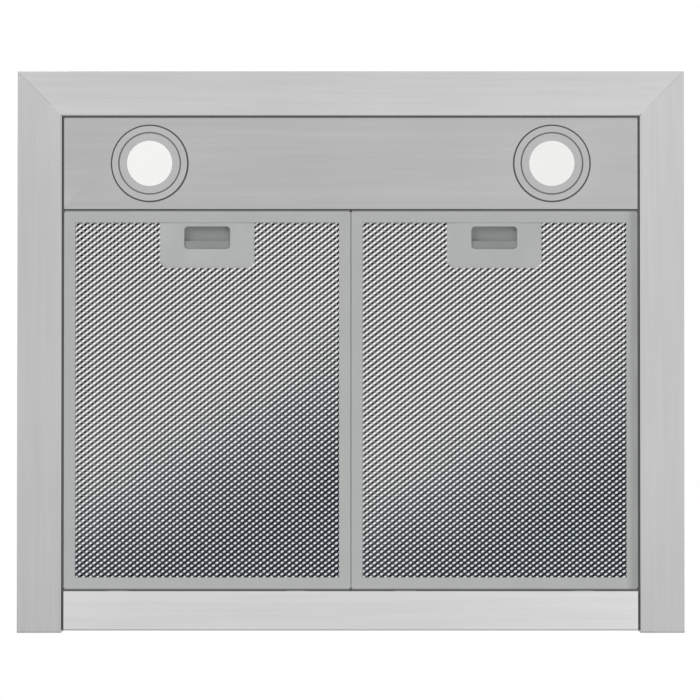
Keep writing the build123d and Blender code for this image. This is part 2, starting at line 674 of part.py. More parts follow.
def impeller():
    """The double-inlet wheel: blades on a centre web, with rings in short flats from blade to blade."""
    along = Plane.YZ * Pos(SHAFT_Y, SHAFT_Z)
    low = along * Pos(0, 0, -WHEEL_HALF)
    blades = Sketch() + [Rot(0, 0, 360 / BLADES * i) * blade_face() for i in range(BLADES)]
    blades = extrude(low * blades, 2 * WHEEL_HALF)
    rim = RegularPolygon(WHEEL_R, 2 * BLADES)
    hoop = rim - RegularPolygon(WHEEL_R - BLADE_DEPTH, 2 * BLADES)
    left = extrude(low * hoop, WHEEL_RING)
    right = extrude(low * Pos(0, 0, 2 * WHEEL_HALF - WHEEL_RING) * hoop, WHEEL_RING)
    web = extrude(along * rim, WEB_SHEET / 2, both=True)
    hub = extrude(along * RegularPolygon(HUB_R, 6), HUB_HALF, both=True)
    wheel = web + hub + left + right + blades
    return wheel - extrude(along * Circle(SHAFT_R + HUB_FIT), HUB_HALF, both=True)


def motor():
    """The motor's square stack inside the wheel's left half, with the shaft's bore."""
    nose = -HUB_HALF - MOTOR_GAP
    plane = Plane.YZ.offset(nose) * Pos(SHAFT_Y, SHAFT_Z)
    stack = extrude(plane * cut_square(MOTOR_HALF, MOTOR_CORNER), -MOTOR_LENGTH)
    return stack - extrude(plane * Circle(SHAFT_R + SHAFT_CLEAR), -SHAFT_IN_MOTOR)


def motor_shaft():
    """The shaft, from inside the motor through the hub."""
    start = -HUB_HALF - MOTOR_GAP - SHAFT_IN_MOTOR + SHAFT_END
    return rod(SHAFT_R, (start, SHAFT_Y, SHAFT_Z), (HUB_HALF + MOTOR_GAP, SHAFT_Y, SHAFT_Z))


def motor_bracket():
    """Four folded arms from the scroll's left end plate along the motor's sides."""
    half = BRACKET_ARM_SHEET / 2
    x, seat = -SCROLL_HALF - half, MOTOR_HALF + MOTOR_SEAT + half
    points = [(x, INLET_R + BRACKET_OVERLAP), (x, seat), (x - BRACKET_ARM_LEG, seat)]
    arm = folded_along_y(points, BRACKET_ARM_SHEET, -BRACKET_ARM_WIDTH / 2, BRACKET_ARM_WIDTH / 2)
    return Pos(0, SHAFT_Y, SHAFT_Z) * Compound(children=[Rot(angle, 0, 0) * arm for angle in (0, 90, 180, 270)])


def run_capacitor():
    """The motor's capacitor, on the box's left wall."""
    low = BOX_TOP - CASE_BELOW_TOP - CAPACITOR_HEIGHT
    case = eared_case(CAPACITOR_LENGTH, CAPACITOR_DEPTH, CAPACITOR_HEIGHT)
    return Pos(-BOX_HALF_X, CAPACITOR_Y, low) * Rot(0, 0, 90) * case


def make_blower():
    """The box, the scroll and what turns in it."""
    save(blower_box(), "blower_box")
    save(blower_box_top(), "blower_box_top")
    left = scroll_half()
    save(left, "scroll_left")
    save(mirrored(left), "scroll_right")
    save(impeller(), "impeller")
    save(motor(), "motor")
    save(motor_shaft(), "motor_shaft")
    save(motor_bracket(), "motor_bracket")
    save(run_capacitor(), "run_capacitor")


# ------------------------------------------------------------------ outlet
def outlet_collar():
    """The duct collar on its square base, with the flaps' stops and their pin across it."""
    low, top = COLLAR_Z, COLLAR_Z + COLLAR_HEIGHT
    tube = extrude(Pos(0, 0, low) * cut_square(COLLAR_PLATE, COLLAR_CORNER), COLLAR_BASE)
    tube += rod(COLLAR_R, (0, 0, low), (0, 0, top))
    tube -= rod(COLLAR_BORE_R, (0, 0, low), (0, 0, top))
    stop = block(COLLAR_BORE_R - STOP_REACH, COLLAR_R - COLLAR_WALL / 2, -STOP_SIDE / 2, STOP_SIDE / 2,
                 STOP_TOP - STOP_SIDE, STOP_TOP)
    tube += [stop, Rot(0, 0, 180) * stop]
    reach = COLLAR_R - COLLAR_WALL / 2
    return Pos(0, COLLAR_Y) * (tube + rod(PIN_R, (0, -reach, PIN_Z), (0, reach, PIN_Z)))


def damper_flap(knuckles):
    """The left half disc, with these knuckles of those along the pin."""
    half, top = KNUCKLE_HALF, FLAP_Z + FLAP_SHEET
    flap = rod(FLAP_R, (0, 0, FLAP_Z), (0, 0, top))
    flap -= block(-KNUCKLE_REACH, FLAP_R, -FLAP_R, FLAP_R, FLAP_Z, top)
    pitch = 2 * (FLAP_R - half) / KNUCKLES
    length = pitch - KNUCKLE_GAP
    for index in knuckles:
        y = pitch * (index - (KNUCKLES - 1) / 2)
        flap += block(-half, half, y - length / 2, y + length / 2, FLAP_Z, FLAP_Z + 2 * half)
        flap += block(-KNUCKLE_REACH, 0, y - length / 2, y + length / 2, FLAP_Z, top)
    return Pos(0, COLLAR_Y) * (flap - rod(PIN_R + PIN_CLEAR, (0, -FLAP_R, PIN_Z), (0, FLAP_R, PIN_Z)))


def make_outlet():
    """The collar and its two-leaf damper."""
    save(outlet_collar(), "outlet_collar")
    save(damper_flap(range(0, KNUCKLES, 2)), "damper_flap_left")
    save(mirrored(damper_flap(range(1, KNUCKLES, 2))), "damper_flap_right")


# ------------------------------------------------------------------ fixings
def cabinet_bracket():
    """The left Z-bracket: foot on the wall, outer leg with two holes for the cabinet's screws."""
    half, step = BRACKET_SHEET / 2, BRACKET_FOOT_Z + BRACKET_FOOT
    foot, leg = -BODY_X - half, -BODY_X - BRACKET_REACH
    points = [(foot, BRACKET_FOOT_Z), (foot, step), (leg, step), (leg, step + BRACKET_RISE)]
    bracket = folded_along_y(points, BRACKET_SHEET, -BRACKET_LENGTH / 2, BRACKET_LENGTH / 2)
    z = step + BRACKET_RISE - BRACKET_HOLE_DROP
    for y in row(2, BRACKET_HOLE_SPACING):
        bracket -= rod(BRACKET_HOLE_R, (leg - BRACKET_SHEET, y, z), (leg + BRACKET_SHEET, y, z))
    return bracket


def make_fixings():
    """The brackets that hang the hood in its cabinet."""
    bracket = cabinet_bracket()
    save(bracket, "cabinet_bracket_left")
    save(mirrored(bracket), "cabinet_bracket_right")


# ------------------------------------------------------------------ filters, each about its own middle
def filter_frame():
    """A channel frame round the mesh, with a slot for the bolt in its front web."""
    sheet, half = FRAME_SHEET, FILTER_W / 2
    outer = cut_block(-half, half, FILTER_FRONT, FILTER_REAR, RECESS, FILTER_TOP, FRAME_CORNER)
    hollow = mesh_area(sheet, RECESS + sheet, FILTER_TOP - sheet)
    window = mesh_area(FRAME_FLANGE, RECESS, FILTER_TOP)
    half = BOLT_WIDTH / 2 + BOLT_CLEAR
    slot = block(-half, half, FILTER_FRONT, FILTER_FRONT + sheet, BOLT_Z - BOLT_CLEAR,
                 BOLT_Z + BOLT_THICK + BOLT_CLEAR)
    return outer - hollow - window - slot


def mesh_area(inset, z0, z1):
    """A rectangle this far inside the filter's outline."""
    half = FILTER_W / 2 - inset
    return block(-half, half, FILTER_FRONT + inset, FILTER_REAR - inset, z0, z1)


def handle_area(grow, z0, z1):
    """The handle plate's outline, with its rear corners cut off, widened by a clearance."""
    half, front = HANDLE_WIDTH / 2 + grow, FILTER_FRONT + MESH_INSET - grow
    rear, cut = FLANGE_EDGE + HANDLE_LENGTH + grow, HANDLE_CORNER
    return plan([(-half, front), (half, front), (half, rear - cut), (half - cut, rear),
                 (cut - half, rear), (-half, rear - cut)], z0, z1)


def filter_face_mesh():
    """The mesh that shows, cut out round the handle plate."""
    top = HANDLE_LOW + MESH_SHEET
    return mesh_area(MESH_INSET, HANDLE_LOW, top) - handle_area(MESH_CLEAR, HANDLE_LOW, top)


def filter_back_mesh():
    """The mesh on the air side."""
    top = FILTER_TOP - FRAME_SHEET
    return mesh_area(MESH_INSET, top - MESH_SHEET, top)


def filter_core():
    """The corrugated layer between the two meshes."""
    low = HANDLE_LOW + MESH_SHEET + CORE_SHEET / 2 + CORE_CLEAR
    top = GUIDE_TOP - CORE_SHEET / 2
    span = FILTER_W - 2 * MESH_INSET
    pitch = span / CORRUGATIONS
    points = [(pitch * i / 2 - span / 2, top if i % 2 else low) for i in range(2 * CORRUGATIONS + 1)]
    wave = trace(Polyline(*points), line_width=CORE_SHEET)
    core = extrude(Plane.XZ.offset(-FILTER_FRONT - MESH_INSET) * wave, 2 * MESH_INSET - FILTER_LENGTH)
    return (core & mesh_area(MESH_INSET, RECESS, FILTER_TOP)) - handle_area(MESH_CLEAR, RECESS, FILTER_TOP)


def handle_plate():
    """The moulded plate with the finger window and the latch's guides."""
    plate = handle_area(0, HANDLE_LOW, HANDLE_TOP)
    middle = (WINDOW_FRONT + WINDOW_REAR) / 2
    window = Pos(0, middle, HANDLE_LOW) * RectangleRounded(WINDOW_WIDTH, WINDOW_LENGTH, WINDOW_CORNER_R)
    inner = LATCH_HALF + LATCH_CLEAR
    outer = inner + GUIDE_WALL
    guide = block(-outer, outer, FLANGE_EDGE, SPRING_SEAT + GUIDE_WALL, HANDLE_TOP, GUIDE_TOP)
    guide -= block(-inner, inner, FLANGE_EDGE, SPRING_SEAT, HANDLE_TOP, GUIDE_TOP - GUIDE_LIP)
    lips = inner - GUIDE_LIP_REACH
    guide -= block(-lips, lips, FLANGE_EDGE, SPRING_SEAT, HANDLE_TOP, GUIDE_TOP)
    return plate - extrude(window, HANDLE_SHEET) + guide


def latch_slider():
    """The slider: a finger pocket, a grip behind it and the bolt in front."""
    front = WINDOW_FRONT - LATCH_WALL
    body = block(-LATCH_HALF, LATCH_HALF, front, LATCH_REAR, LATCH_LOW, LATCH_TOP)
    half = WINDOW_WIDTH / 2
    pocket = block(-half, half, WINDOW_FRONT, WINDOW_REAR - GRIP_LENGTH, LATCH_LOW, LATCH_TOP - LATCH_WALL)
    nose = FILTER_FRONT - SEAM + BOLT_SHORT
    bolt = block(-BOLT_WIDTH / 2, BOLT_WIDTH / 2, nose, front, BOLT_Z, BOLT_Z + BOLT_THICK)
    bevel = bolt.edges().filter_by(Axis.X).group_by(Axis.Y)[0].sort_by(Axis.Z)[-1]
    return body - pocket + chamfer(bevel, BOLT_BEVEL)


def latch_spring():
    """The folded leaf spring between the slider and the guide's rear wall."""
    half, step = SPRING_WIDTH / 2, (SPRING_LENGTH - 2 * SPRING_SHEET) / SPRING_FOLDS
    start = LATCH_REAR + SPRING_SHEET
    points = [(half * (-1) ** i, start + step * i) for i in range(SPRING_FOLDS + 1)]
    leaf = trace(Polyline(*points), line_width=SPRING_SHEET)
    middle = (LATCH_LOW + LATCH_TOP) / 2
    return extrude(Pos(0, 0, middle - SPRING_HEIGHT / 2) * leaf, SPRING_HEIGHT)


def filter_tabs():
    """Two hooked tabs on the frame's rear web, over the rear strip's edge."""
    half, foot = TAB_SHEET / 2, STRIP_TOP + TAB_LIFT + TAB_SHEET / 2
    points = [(FILTER_REAR + half, FILTER_TOP - FRAME_SHEET), (FILTER_REAR + half, foot),
              (REAR_STRIP + TAB_REACH, foot)]
    tab = folded_along_x(points, TAB_SHEET, -TAB_WIDTH / 2, TAB_WIDTH / 2)
    return Compound(children=[Pos(x) * tab for x in row(2, TAB_SPREAD)])


def make_filters():
    """Two filters, side by side, behind the lamp panel."""
    pieces = {"filter_frame": filter_frame(), "filter_face_mesh": filter_face_mesh(),
              "filter_core": filter_core(), "filter_back_mesh": filter_back_mesh(),
              "handle_plate": handle_plate(), "latch_slider": latch_slider(),
              "latch_spring": latch_spring(), "filter_tabs": filter_tabs()}
    for name, piece in pieces.items():
        save(Pos(-FILTER_X) * piece, f"{name}_left")
        save(Pos(FILTER_X) * piece, f"{name}_right")


make_trim()
make_body()
make_lamps()
make_electrics()
make_blower()
make_outlet()
make_fixings()
make_filters()
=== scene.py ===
"""Range hood insert: finishes, expanded mesh, rounded edges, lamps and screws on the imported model.

Metres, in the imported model's frame: +Z is up as installed, z = 0 is the underside of the trim, and
the front (lamp side) is towards -Y. The camera looks straight up at the underside.
"""

import json
from math import hypot, pi, radians, tau

import bmesh
import bpy
from mathutils import Matrix, Vector

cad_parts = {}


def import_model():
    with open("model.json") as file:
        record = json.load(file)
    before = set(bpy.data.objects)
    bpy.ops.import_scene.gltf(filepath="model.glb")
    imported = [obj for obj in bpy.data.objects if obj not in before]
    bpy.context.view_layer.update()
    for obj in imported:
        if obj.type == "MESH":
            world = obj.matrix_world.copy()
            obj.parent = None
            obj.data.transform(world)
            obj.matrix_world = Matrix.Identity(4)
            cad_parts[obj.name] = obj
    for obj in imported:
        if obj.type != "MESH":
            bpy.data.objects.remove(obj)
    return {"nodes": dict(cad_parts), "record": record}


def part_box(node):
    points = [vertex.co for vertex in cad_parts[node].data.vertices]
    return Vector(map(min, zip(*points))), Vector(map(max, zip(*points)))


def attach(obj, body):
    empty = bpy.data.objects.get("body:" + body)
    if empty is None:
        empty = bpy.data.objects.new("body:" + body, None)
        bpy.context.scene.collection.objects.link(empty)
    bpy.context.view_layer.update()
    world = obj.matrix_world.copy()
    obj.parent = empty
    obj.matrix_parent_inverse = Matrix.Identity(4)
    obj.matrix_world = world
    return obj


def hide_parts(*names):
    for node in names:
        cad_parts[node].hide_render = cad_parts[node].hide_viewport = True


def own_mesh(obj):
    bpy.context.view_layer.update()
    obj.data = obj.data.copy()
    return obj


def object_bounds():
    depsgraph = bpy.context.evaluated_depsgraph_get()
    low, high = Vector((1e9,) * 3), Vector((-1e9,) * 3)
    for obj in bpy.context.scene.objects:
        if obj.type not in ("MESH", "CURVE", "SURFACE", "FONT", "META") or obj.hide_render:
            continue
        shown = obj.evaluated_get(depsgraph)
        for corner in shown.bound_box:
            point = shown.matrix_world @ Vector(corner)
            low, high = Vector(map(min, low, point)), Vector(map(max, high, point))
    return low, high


bl_info = {
    "name": "Range Hood Insert",
    "version": (1, 0, 0),
    "blender": (4, 5, 0),
    "location": "3D View > Sidebar > Hood",
    "description": "Dresses a range hood insert with its finishes, mesh, lamps and screws",
    "category": "Object",
}

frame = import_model()
CAD_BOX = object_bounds()
MM = 0.001
SIDES = {"left": -1, "right": 1}
WHITE = (1.0, 1.0, 1.0, 1.0)
NOISE_SPAN = (0.3, 0.7)  # most of a noise lies between these
NODE_MERGE = 0.002 * MM  # corners of a copied node that are nearer than this are one
MESH_MERGE = 0.005 * MM  # the same in the expanded mesh
PIECE_MERGE = 0.01 * MM  # and in the other new pieces
FLAT = radians(0.5)  # faces that meet at less than this are one face


# ------------------------------------------------------------------ shader maths
class Value:
    """What a shader node gives, so that sums on it are written as plain expressions."""

    def __init__(self, finish, socket):
        self.finish = finish
        self.socket = socket

    def maths(self, operation, first, second):
        return self.finish.node("ShaderNodeMath", {"operation": operation}, {0: first, 1: second})

    def __add__(self, other):
        return self.maths("ADD", self, other)

    def __sub__(self, other):
        return self.maths("SUBTRACT", self, other)

    def __rsub__(self, other):
        return self.maths("SUBTRACT", other, self)

    def __mul__(self, other):
        return self.maths("MULTIPLY", self, other)

    def __rmul__(self, other):
        return self.maths("MULTIPLY", other, self)

    def __gt__(self, other):
        return self.maths("GREATER_THAN", self, other)


class Finish:
    """The shader nodes of one material or of the world."""

    def __init__(self, tree):
        self.tree = tree

    def node(self, kind, settings=None, inputs=None, output=0):
        """Adds a node: its settings first, then the values or links of its sockets."""
        node = self.tree.nodes.new(kind)
        for key, value in (settings or {}).items():
            if key == "stops":
                self.set_stops(node.color_ramp, value)
            else:
                setattr(node, key, value)
        for key, value in (inputs or {}).items():
            self.feed(node.inputs[key], value)
        return Value(self, node.outputs[output])

    def feed(self, socket, value):
        """Links a worked-out value to a socket, or sets the socket's own value."""
        if isinstance(value, Value):
            self.tree.links.new(value.socket, socket)
        else:
            socket.default_value = value

    def set_stops(self, ramp, stops):
        """Gives a colour ramp its stops, as pairs of a place and a grey or a colour."""
        while len(ramp.elements) < len(stops):
            ramp.elements.new(1)
        for element, (place, colour) in zip(ramp.elements, stops):
            element.position = place
            element.color = rgba(colour)

    def mix(self, factor, first, second, blend="MIX"):
        """Mixes two colours."""
        settings = {"data_type": "RGBA", "blend_type": blend}
        return self.node("ShaderNodeMix", settings, {0: factor, 6: first, 7: second}, 2)

    def ramp(self, factor, stops):
        """Turns a value into a grey or a colour by a ramp's stops."""
        return self.node("ShaderNodeValToRGB", {"stops": stops}, {0: factor})

    def sine(self, turn):
        """Sine of a turn in radians."""
        return self.node("ShaderNodeMath", {"operation": "SINE"}, {0: turn})

    def part(self, kind, value, name):
        """One part of a vector (X, Y or Z) or of a colour (Red, Green or Blue)."""
        return self.node(f"ShaderNodeSeparate{kind}", {}, {0: value}, name)

    def between(self, value, low, high, new_low=0.0, new_high=1.0):
        """Moves a value from one range to another, and holds it at the ends."""
        inputs = {"Value": value, "From Min": low, "From Max": high, "To Min": new_low,
                  "To Max": new_high}
        return self.node("ShaderNodeMapRange", {"interpolation_type": "SMOOTHSTEP"}, inputs)


class Surface(Finish):
    """A material with one main shader, whose constant sockets are set on the shader itself."""

    def __init__(self, name, **constants):
        self.material = bpy.data.materials.new(name)
        self.material.use_nodes = True
        super().__init__(self.material.node_tree)
        self.shader = self.tree.nodes["Principled BSDF"]
        self.place = self.node("ShaderNodeTexCoord", output="Object")
        for socket, value in constants.items():
            self.shader.inputs[socket.replace("_", " ").title()].default_value = value

    def set(self, socket, value):
        self.feed(self.shader.inputs[socket], value)

    def moved(self, centre=(0, 0, 0), stretch=(1, 1, 1)):
        """Object coordinates from a centre, then stretched."""
        inputs = {"Vector": self.place, "Location": [-part for part in centre]}
        centred = self.node("ShaderNodeMapping", {}, inputs)
        return self.node("ShaderNodeMapping", {}, {"Vector": centred, "Scale": stretch})

    def axis(self, name, centre=(0, 0, 0)):
        """One coordinate of the place, from a centre."""
        return self.part("XYZ", self.moved(centre), name)

    def noise(self, grains, detail=2.0, roughness=0.5, centre=(0, 0, 0)):
        """Smooth noise with this many grains to the metre: one number, or one for each axis."""
        stretch = (grains,) * 3 if isinstance(grains, (int, float)) else grains
        inputs = {"Vector": self.moved(centre, stretch), "Scale": 1.0, "Detail": detail,
                  "Roughness": roughness}
        return self.node("ShaderNodeTexNoise", {}, inputs)

    def cells(self, count, feature="F1", output="Distance"):
        """Cells with this many to the metre."""
        inputs = {"Vector": self.moved(stretch=(count,) * 3), "Scale": 1.0}
        return self.node("ShaderNodeTexVoronoi", {"feature": feature}, inputs, output)

    def tint(self, tone, colour, stops):
        """Colours the surface by a tone: each stop has a place and its share of the colour."""
        shares = [(place, shade(colour, share)) for place, share in stops]
        self.set("Base Color", self.ramp(tone, shares))

    def rough(self, value, low, high, span=NOISE_SPAN):
        """Sets a roughness that goes from low to high as a value goes through a span."""
        self.set("Roughness", self.between(value, *span, low, high))

    def relief(self, height, depth):
        """Raises the surface by a height from 0 to 1, times a depth in metres."""
        self.set("Normal", self.node("ShaderNodeBump", {}, {"Height": height, "Distance": depth}))


def rgba(colour):
    """A grey or a colour as the four numbers that a colour socket takes."""
    if isinstance(colour, (int, float)):
        return (colour, colour, colour, 1.0)
    return (*colour[:3], 1.0)


def shade(colour, factor):
    """A colour made lighter or darker."""
    return rgba([min(1.0, part * factor) for part in colour])


# ------------------------------------------------------------------ sizes and colours
def length(name, about, default, **limits):
    """A setting in metres."""
    return bpy.props.FloatProperty(name=name, description=about, default=default, unit="LENGTH",
                                   **limits)


def number(name, about, default, **limits):
    """A setting without a unit."""
    return bpy.props.FloatProperty(name=name, description=about, default=default, **limits)


def colour(name, about, default):
    """A setting that is a colour."""
    return bpy.props.FloatVectorProperty(name=name, description=about, default=default, size=3,
                                         subtype="COLOR", min=0.0, max=1.0)


class HoodSheets(bpy.types.PropertyGroup):
    """Colours and grain of the sheet metal."""

    # The four trims are one brushed steel; their colours differ by painted light and shade: the left
    # darkest, the rear lightest.
    front_lit_steel: colour("Front trim", "Brushed steel of the front trim", (0.648, 0.648, 0.646))
    left_lit_steel: colour("Left trim", "Brushed steel of the left trim", (0.585, 0.585, 0.583))
    right_lit_steel: colour("Right trim", "Brushed steel of the right trim", (0.63, 0.63, 0.629))
    rear_lit_steel: colour("Rear strip", "Brushed steel of the rear strip", (0.715, 0.715, 0.714))
    panel_steel: colour("Lamp panel", "Brushed steel of the lamp panel", (0.532, 0.532, 0.532))
    zinc: colour("Zinc", "Galvanised sheet of the chamber and the blower box", (0.44, 0.455, 0.47))
    grain: length("Grain", "Width of one line of the brushing", 0.0009, min=0.0001)
    stroke: length("Stroke", "Length of one line of the brushing", 0.03, min=0.001)
    spangle: length("Spangle", "Size of the zinc's crystals", 0.007, min=0.001)
    edge: length("Edge", "Rounding of a sheet's edges", 0.0003, min=0.00005)
    hem: length("Hem", "Width of a folded edge, seen from below", 0.0012, min=0.0005)


class HoodLamps(bpy.types.PropertyGroup):
    """Sizes and colours of the lamps."""

    bezel: colour("Bezel", "Satin metal of the bezels", (0.546, 0.546, 0.545))
    can: colour("Can", "Satin metal of the lamps' cans", (0.565, 0.565, 0.565))
    lens: colour("Lens", "Frosted lens", (0.9, 0.9, 0.89))
    # painted glow that brightens the lens
    glow: number("Glow", "Light of the lens at rest", 0.14, min=0.0, max=2.0)
    gasket: length("Gasket", "Gasket that shows round a bezel", 0.0011, min=0.0)
    # the gasket's and can seal's greys are also painted shade: they set how dark the lines round a
    # bezel look
    gasket_grey: colour("Gasket colour", "Rubber round a bezel", (0.09, 0.09, 0.09))
    can_seal: colour("Can seal", "Paler rubber between a bezel and its can", (0.22, 0.22, 0.22))
    chip: colour("Chip", "Light source on a lamp's board", (0.85, 0.62, 0.12))
    round_edge: length("Round edge", "Radius of a bezel's rim", 0.0007, min=0.0001)
    steps: bpy.props.IntProperty(name="Steps", description="Facets round a lamp", default=96,
                                 min=24)


class HoodFilters(bpy.types.PropertyGroup):
    """Sizes and colours of the grease filters."""

    across: length("Pitch across", "Pitch of the mesh's diamonds, left to right", 0.0065, min=0.002)
    along: length("Pitch along", "Pitch of the mesh's diamonds front to rear", 0.00505, min=0.002)
    strand: number("Strand", "Share of a diamond that is strand", 0.47, min=0.1, max=0.8)
    tilt: length("Tilt", "Height that a strand turns through", 0.00055, min=0.0)
    sheet: length("Sheet", "Thickness of the mesh's strands", 0.0004, min=0.0001)
    frame_metal: colour("Frame", "Satin aluminium of the frames", (0.497, 0.507, 0.504))
    # The strands' colours are painted light: a painted highlight on the strands that lean one way,
    # painted shade on the rest, both darker at a filter's rear right corner.
    painted_strand_glint: colour("Bright strand", "Strands that lean to the light", (0.98, 0.98, 0.98))
    painted_strand_shade: colour("Dim strand", "Strands that lean away", (0.235, 0.235, 0.235))
    painted_strand_glint_far: colour("Bright strand, far", "The same, at a filter's rear right corner",
                            (0.78, 0.82, 0.86))
    painted_strand_shade_far: colour("Dim strand, far", "The same, at a filter's rear right corner",
                         (0.045, 0.052, 0.06))
    # The core's colours are painted shade and painted glints: it lies in shadow behind the face
    # mesh.
    core_dark: colour("Core, dark", "Deepest shadow in the core", (0.02, 0.022, 0.026))
    core_grey: colour("Core, grey", "Most of the core", (0.07, 0.072, 0.076))
    core_light: colour("Core, light", "Glints in the core", (0.2, 0.2, 0.205))
    handle: colour("Handle", "Painted moulding of the handle plates", (0.505, 0.521, 0.516))
    # the seals' grey is also painted shade: it sets how dark the gaps look
    seal: colour("Seal", "Rubber seals in the gaps", (0.19, 0.192, 0.195))
    latch: colour("Latch", "Moulding of the latch sliders", (0.305, 0.315, 0.315))


class HoodPlastics(bpy.types.PropertyGroup):
    """Colours of the moulded, painted and turned parts above."""

    black: colour("Black moulding", "Collar, flaps and control box", (0.03, 0.03, 0.032))
    scroll: colour("Scroll", "Moulding of the blower's scroll", (0.045, 0.045, 0.05))
    driver: colour("Driver", "Case of the lamps' driver", (0.68, 0.68, 0.66))
    capacitor: colour("Capacitor", "Case of the motor's capacitor", (0.72, 0.72, 0.7))
    motor: colour("Motor", "Paint of the motor", (0.05, 0.05, 0.055))
    board: colour("Board", "Solder mask of the lamps' boards", (0.82, 0.82, 0.8))
    spring: colour("Spring", "Spring steel", (0.5, 0.5, 0.5))
    shaft: colour("Shaft", "Ground steel of the motor's shaft", (0.6, 0.6, 0.6))


class HoodScrews(bpy.types.PropertyGroup):
    """Sizes of the screws."""

    head_r: length("Head radius", "Radius of a screw's head", 0.0032, min=0.001)
    head_h: length("Head height", "Height of a screw's head", 0.0019, min=0.0005)
    slot: length("Slot width", "Width of an arm of the cross recess", 0.0009, min=0.0002)
    depth: length("Slot depth", "Depth of the cross recess", 0.0011, min=0.0002)
    metal: colour("Plating", "Zinc plating of the screws", (0.6, 0.6, 0.6))


class HoodStage(bpy.types.PropertyGroup):
    """The camera, the floor and the light."""

    lens: number("Lens", "Focal length in mm", 135.0, min=20.0)
    width: length("Width of view", "Width of the picture at the hood's underside", 0.6291, min=0.1)
    aim_x: length("Aim across", "Middle of the picture, across", -0.0007)
    aim_y: length("Aim along", "Middle of the picture, front to rear", -0.0014)
    lean: number("Lean", "Camera's turn towards the rear", radians(0.8), subtype="ANGLE")
    floor_z: length("Floor", "Height of the floor", -3.5)
    floor_half: length("Floor half", "Half the floor's side", 40.0)
    floor_paint: colour("Floor paint", "Matt paint of the floor", (0.9, 0.9, 0.9))
    sky: number("Sky", "Light of the world on matt surfaces", 0.55, min=0.0)


def sizes(group):
    """One group of the scene's settings."""
    return getattr(bpy.context.scene, f"hood_{group}")


# ------------------------------------------------------------------ modelling as by hand
def settle():
    """Goes back to object mode with nothing selected."""
    if bpy.context.mode != "OBJECT":
        bpy.ops.object.mode_set(mode="OBJECT")
    bpy.ops.object.select_all(action="DESELECT")


def choose(piece):
    """Selects this piece alone."""
    settle()
    piece.select_set(True)
    bpy.context.view_layer.objects.active = piece


def edit(piece):
    """Opens a piece in edit mode with all of it selected."""
    choose(piece)
    bpy.ops.object.mode_set(mode="EDIT")
    bpy.ops.mesh.select_all(action="SELECT")


def pick(piece, wanted, kind="FACE"):
    """In edit mode, selects the faces, edges or corners that the test accepts."""
    bpy.ops.mesh.select_mode(type=kind)
    bpy.ops.mesh.select_all(action="DESELECT")
    shape = bmesh.from_edit_mesh(piece.data)
    parts = {"FACE": shape.faces, "EDGE": shape.edges, "VERT": shape.verts}[kind]
    for part in parts:
        part.select_set(bool(wanted(part)))
    bmesh.update_edit_mesh(piece.data)


def modify(piece, kind, **settings):
    """Adds a modifier and applies it."""
    choose(piece)
    modifier = piece.modifiers.new(kind.title(), kind)
    for key, value in settings.items():
        setattr(modifier, key, value)
    bpy.ops.object.modifier_apply(modifier=modifier.name)


def place(piece):
    """Puts a piece's place, turn and scale into its mesh."""
    choose(piece)
    bpy.ops.object.transform_apply(location=True, rotation=True, scale=True)


def dress(piece, name, body, slot, finish, *nodes):
    """Names a finished piece, gives it its finish and ties it to the model."""
    place(piece)
    piece.name = name
    piece.data.name = name
    piece.data.materials.clear()
    piece.data.materials.append(finish)
    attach(piece, body)
    if nodes:
        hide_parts(*nodes)
    return piece


def joined(pieces):
    """Makes one mesh of several pieces."""
    settle()
    for piece in pieces:
        piece.select_set(True)
    bpy.context.view_layer.objects.active = pieces[0]
    bpy.ops.object.join()
    return bpy.context.object


def node_slot(node):
    """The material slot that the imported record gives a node."""
    parts = frame["record"]["subparts"]
    return next(part["material_slot"] for part in parts if part["node"] == node)


def node_body(node):
    """The body that carries a node."""
    bodies = frame["record"]["behaviour"]["bodies"]
    return next(body for body, nodes in bodies.items() if node in nodes)


def edged(node, finish, edge=None):
    """A copy of a node with whole faces and rounded edges, which takes the node's place."""
    crease = radians(32)
    piece = bpy.data.objects.new(f"{node}_edged", frame["nodes"][node].data.copy())
    bpy.context.collection.objects.link(piece)
    edit(piece)
    bpy.ops.mesh.customdata_custom_splitnormals_clear()
    bpy.ops.mesh.remove_doubles(threshold=NODE_MERGE)
    bpy.ops.mesh.dissolve_limited(angle_limit=FLAT)
    modify(piece, "BEVEL", width=edge or sizes("sheets").edge, segments=2, limit_method="ANGLE",
           angle_limit=crease, harden_normals=False)
    bpy.ops.object.shade_smooth_by_angle(angle=crease)
    return dress(piece, piece.name, node_body(node), node_slot(node), finish, node)


def paint(finish, *nodes):
    """Gives nodes that stay as they are a finish."""
    for node in nodes:
        for slot in frame["nodes"][node].material_slots:
            slot.material = finish


# ------------------------------------------------------------------ finishes
REAR_SHADE = (0.06, 0.28)  # places along Y between which painted shade darkens the side trims towards the rear
END_SHADE = (2.3 * MM, 0.7 * MM)  # and before their rear ends, where painted shade darkens them once more
RAIL = 13 * MM  # rail of a filter's frame, seen from below, over which the right frame's painted shade deepens
CHIP_R, CHIP_BLUR = 4.0 * MM, 0.2 * MM  # light source on a lamp's board, and its soft edge


